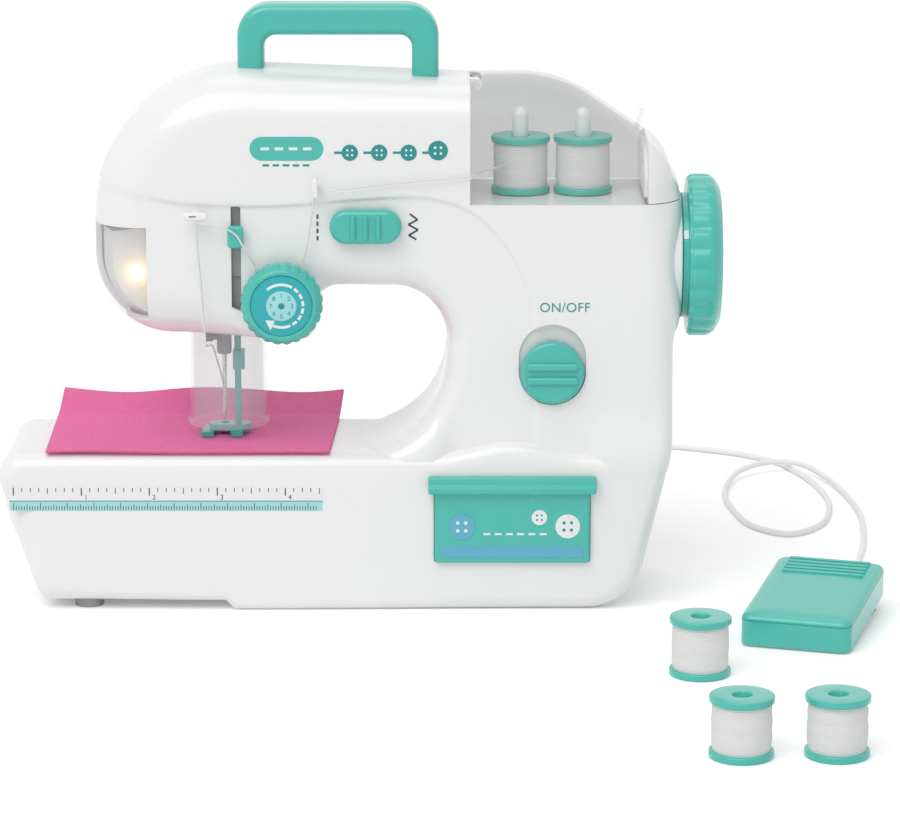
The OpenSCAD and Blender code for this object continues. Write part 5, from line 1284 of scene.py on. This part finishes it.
# Return springs of round wire
def coil_spring(name, node, wire, turns):
    """Helix of even pitch inside a node's box."""
    low, high = (np.array(corner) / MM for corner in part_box(node))
    middle, tall = (low + high) / 2, high[2] - low[2]
    turn = np.linspace(0, 2 * math.pi * turns, 24 * turns + 1)
    radius = (high[0] - low[0]) / 2 - wire
    line = np.column_stack([middle[0] + radius * np.cos(turn), middle[1] + radius * np.sin(turn),
                            np.linspace(low[2] + wire, high[2] - wire, len(turn))])
    spring = add_piece(name, *swept(line, wire, 8), steel_bright, "machine", "steel", [node], 60)
    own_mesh(spring)


coil_spring("presser_coil", "presser_spring", 0.2, 7)
coil_spring("treadle_coil", "pedal_spring", 0.5, 5)

# Threads: from reel to dial, and from dial over take-up and hook to the needle
THREAD_R, THREAD_SIDES, THREAD_STEP, CORNER_EASE = 0.35, 10, 0.8, 1.6
spool_route = [[64.2, -8.4, 166], [53.6, -24.5, 165.2], [51.8, -28.9, 165], [50.2, -30.3, 164.8],
               [46, -30.5, 164.5], [20, -30.6, 162.2], [-6.5, -31, 158.9], [-9.6, -31, 140], [-13, -30.1, 127]]
dial_end, lever_end, hook_end = [-25.5, -30.1, 124.5], [-36.1, -33.6, 144.5], [-50.6, -33.6, 148]
under_head, at_clamp = [-49, -31.4, 112], [-44.4, -4, 88]
needle_route = [dial_end, [-29.6, -30.2, 132.5], [-32.4, -33.3, 138], lever_end, [-42, -34, 147], hook_end,
                [-49, -31.4, 124], [-47.6, -29.6, 101.4], [-46.6, -20, 99.4], [-46, -13.4, 97.6], at_clamp,
                [-42.8, -1.18, 80], [-42.8, -1.18, 68.6]]


def evenly_along(route):
    """Route as straight taut runs with its corners eased over a few millimetres."""
    p = np.asarray(route, float)
    cut = [p[0]]
    for a, b, c in zip(p, p[1:], p[2:]):
        for near in (a, c):
            d = np.linalg.norm(near - b)
            cut.append(b + (near - b) * min(0.45 * d, CORNER_EASE) / d)
    return smooth_path(np.array(cut + [p[-1]]), THREAD_STEP)


def thread_run(name, line, node, body):
    """Spun thread along a line, in place of a node."""
    tube = swept(line, THREAD_R, THREAD_SIDES)
    run = add_piece(name, *tube, thread_white, body, "thread_white", [node], 180)
    map_grid(run, len(line), THREAD_SIDES, len(line) * THREAD_STEP / PLIES)
    return run


thread_run("upper_thread_run", evenly_along(spool_route), "spool_thread", "machine")
needle_line = evenly_along(needle_route)
over_lever, over_hook = (int(np.argmin(np.linalg.norm(needle_line - p, axis=1))) for p in (lever_end, hook_end))
for name, first, last, still, moving in (
        ("dial_thread_run", 0, over_lever, dial_end, lever_end),
        ("hook_thread_run", over_lever, over_hook, hook_end, lever_end),
        ("needle_thread_run", over_hook, len(needle_line) - 1, under_head, at_clamp)):
    run = thread_run(name, needle_line[first:last + 1], "needle_thread", None)
    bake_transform(run)


# Floor and light
def background_rays(tree):
    """Mask of the rays that show the pale background: camera, glossy and transmission rays."""
    path = tree.nodes.new("ShaderNodeLightPath").outputs
    seen = math_node(tree, "MAXIMUM", path["Is Camera Ray"], path["Is Glossy Ray"])
    return math_node(tree, "MAXIMUM", seen, path["Is Transmission Ray"])


FLOOR_LIFT, ROOM_GREY, ROOM_WHITE = 0.19, (0.57, 0.57, 0.57, 1), (1.0, 1.0, 1.0, 1)
floor_material = bpy.data.materials.new("studio_floor")
floor_material.use_nodes = True
tree = floor_material.node_tree
feed(tree, principled(tree), Base_Color=(0.96, 0.96, 0.96, 1), Roughness=0.85, Emission_Color=(1, 1, 1, 1),
     Emission_Strength=math_node(tree, "MULTIPLY", background_rays(tree), FLOOR_LIFT))
floor_mesh = bpy.data.meshes.new("studio_floor")
floor_mesh.from_pydata([(-6, -6, 0), (6, -6, 0), (6, 8, 0), (-6, 8, 0)], [], [(0, 1, 2, 3)])
floor_mesh.materials.append(floor_material)
studio_floor = bpy.data.objects.new("studio_floor", floor_mesh)
scene.collection.objects.link(studio_floor)

scene.world = bpy.data.worlds.new("studio")
scene.world.use_nodes = True
tree = scene.world.node_tree
room = mixed_colour(tree, Factor=background_rays(tree), A=ROOM_GREY, B=ROOM_WHITE)
feed(tree, next(n for n in tree.nodes if n.type == "BACKGROUND"), Color=room, Strength=1.0)


def add_light(name, kind, energy, **settings):
    """Studio light of a kind, with its settings, in the scene."""
    lamp = bpy.data.lights.new(name, kind)
    lamp.energy = energy
    for setting, value in settings.items():
        setattr(lamp, setting, value)
    holder = bpy.data.objects.new(name, lamp)
    scene.collection.objects.link(holder)
    return holder


LIGHTS_AIM = Vector((0, 0, 0.1))
for name, place, size, power in (("key_left", (-0.9, -1.0, 1.5), 0.8, 3.6),
                                 ("top_back", (0.0, 0.6, 1.7), 1.0, 2.5)):
    light = add_light(name, "AREA", power, size=size)
    light.location = place
    light.rotation_euler = (LIGHTS_AIM - Vector(place)).to_track_quat("-Z", "Y").to_euler()
even_light = add_light("even_light", "SUN", 1.0, angle=math.radians(45))
even_light.rotation_euler = (math.radians(32), math.radians(-16), 0)
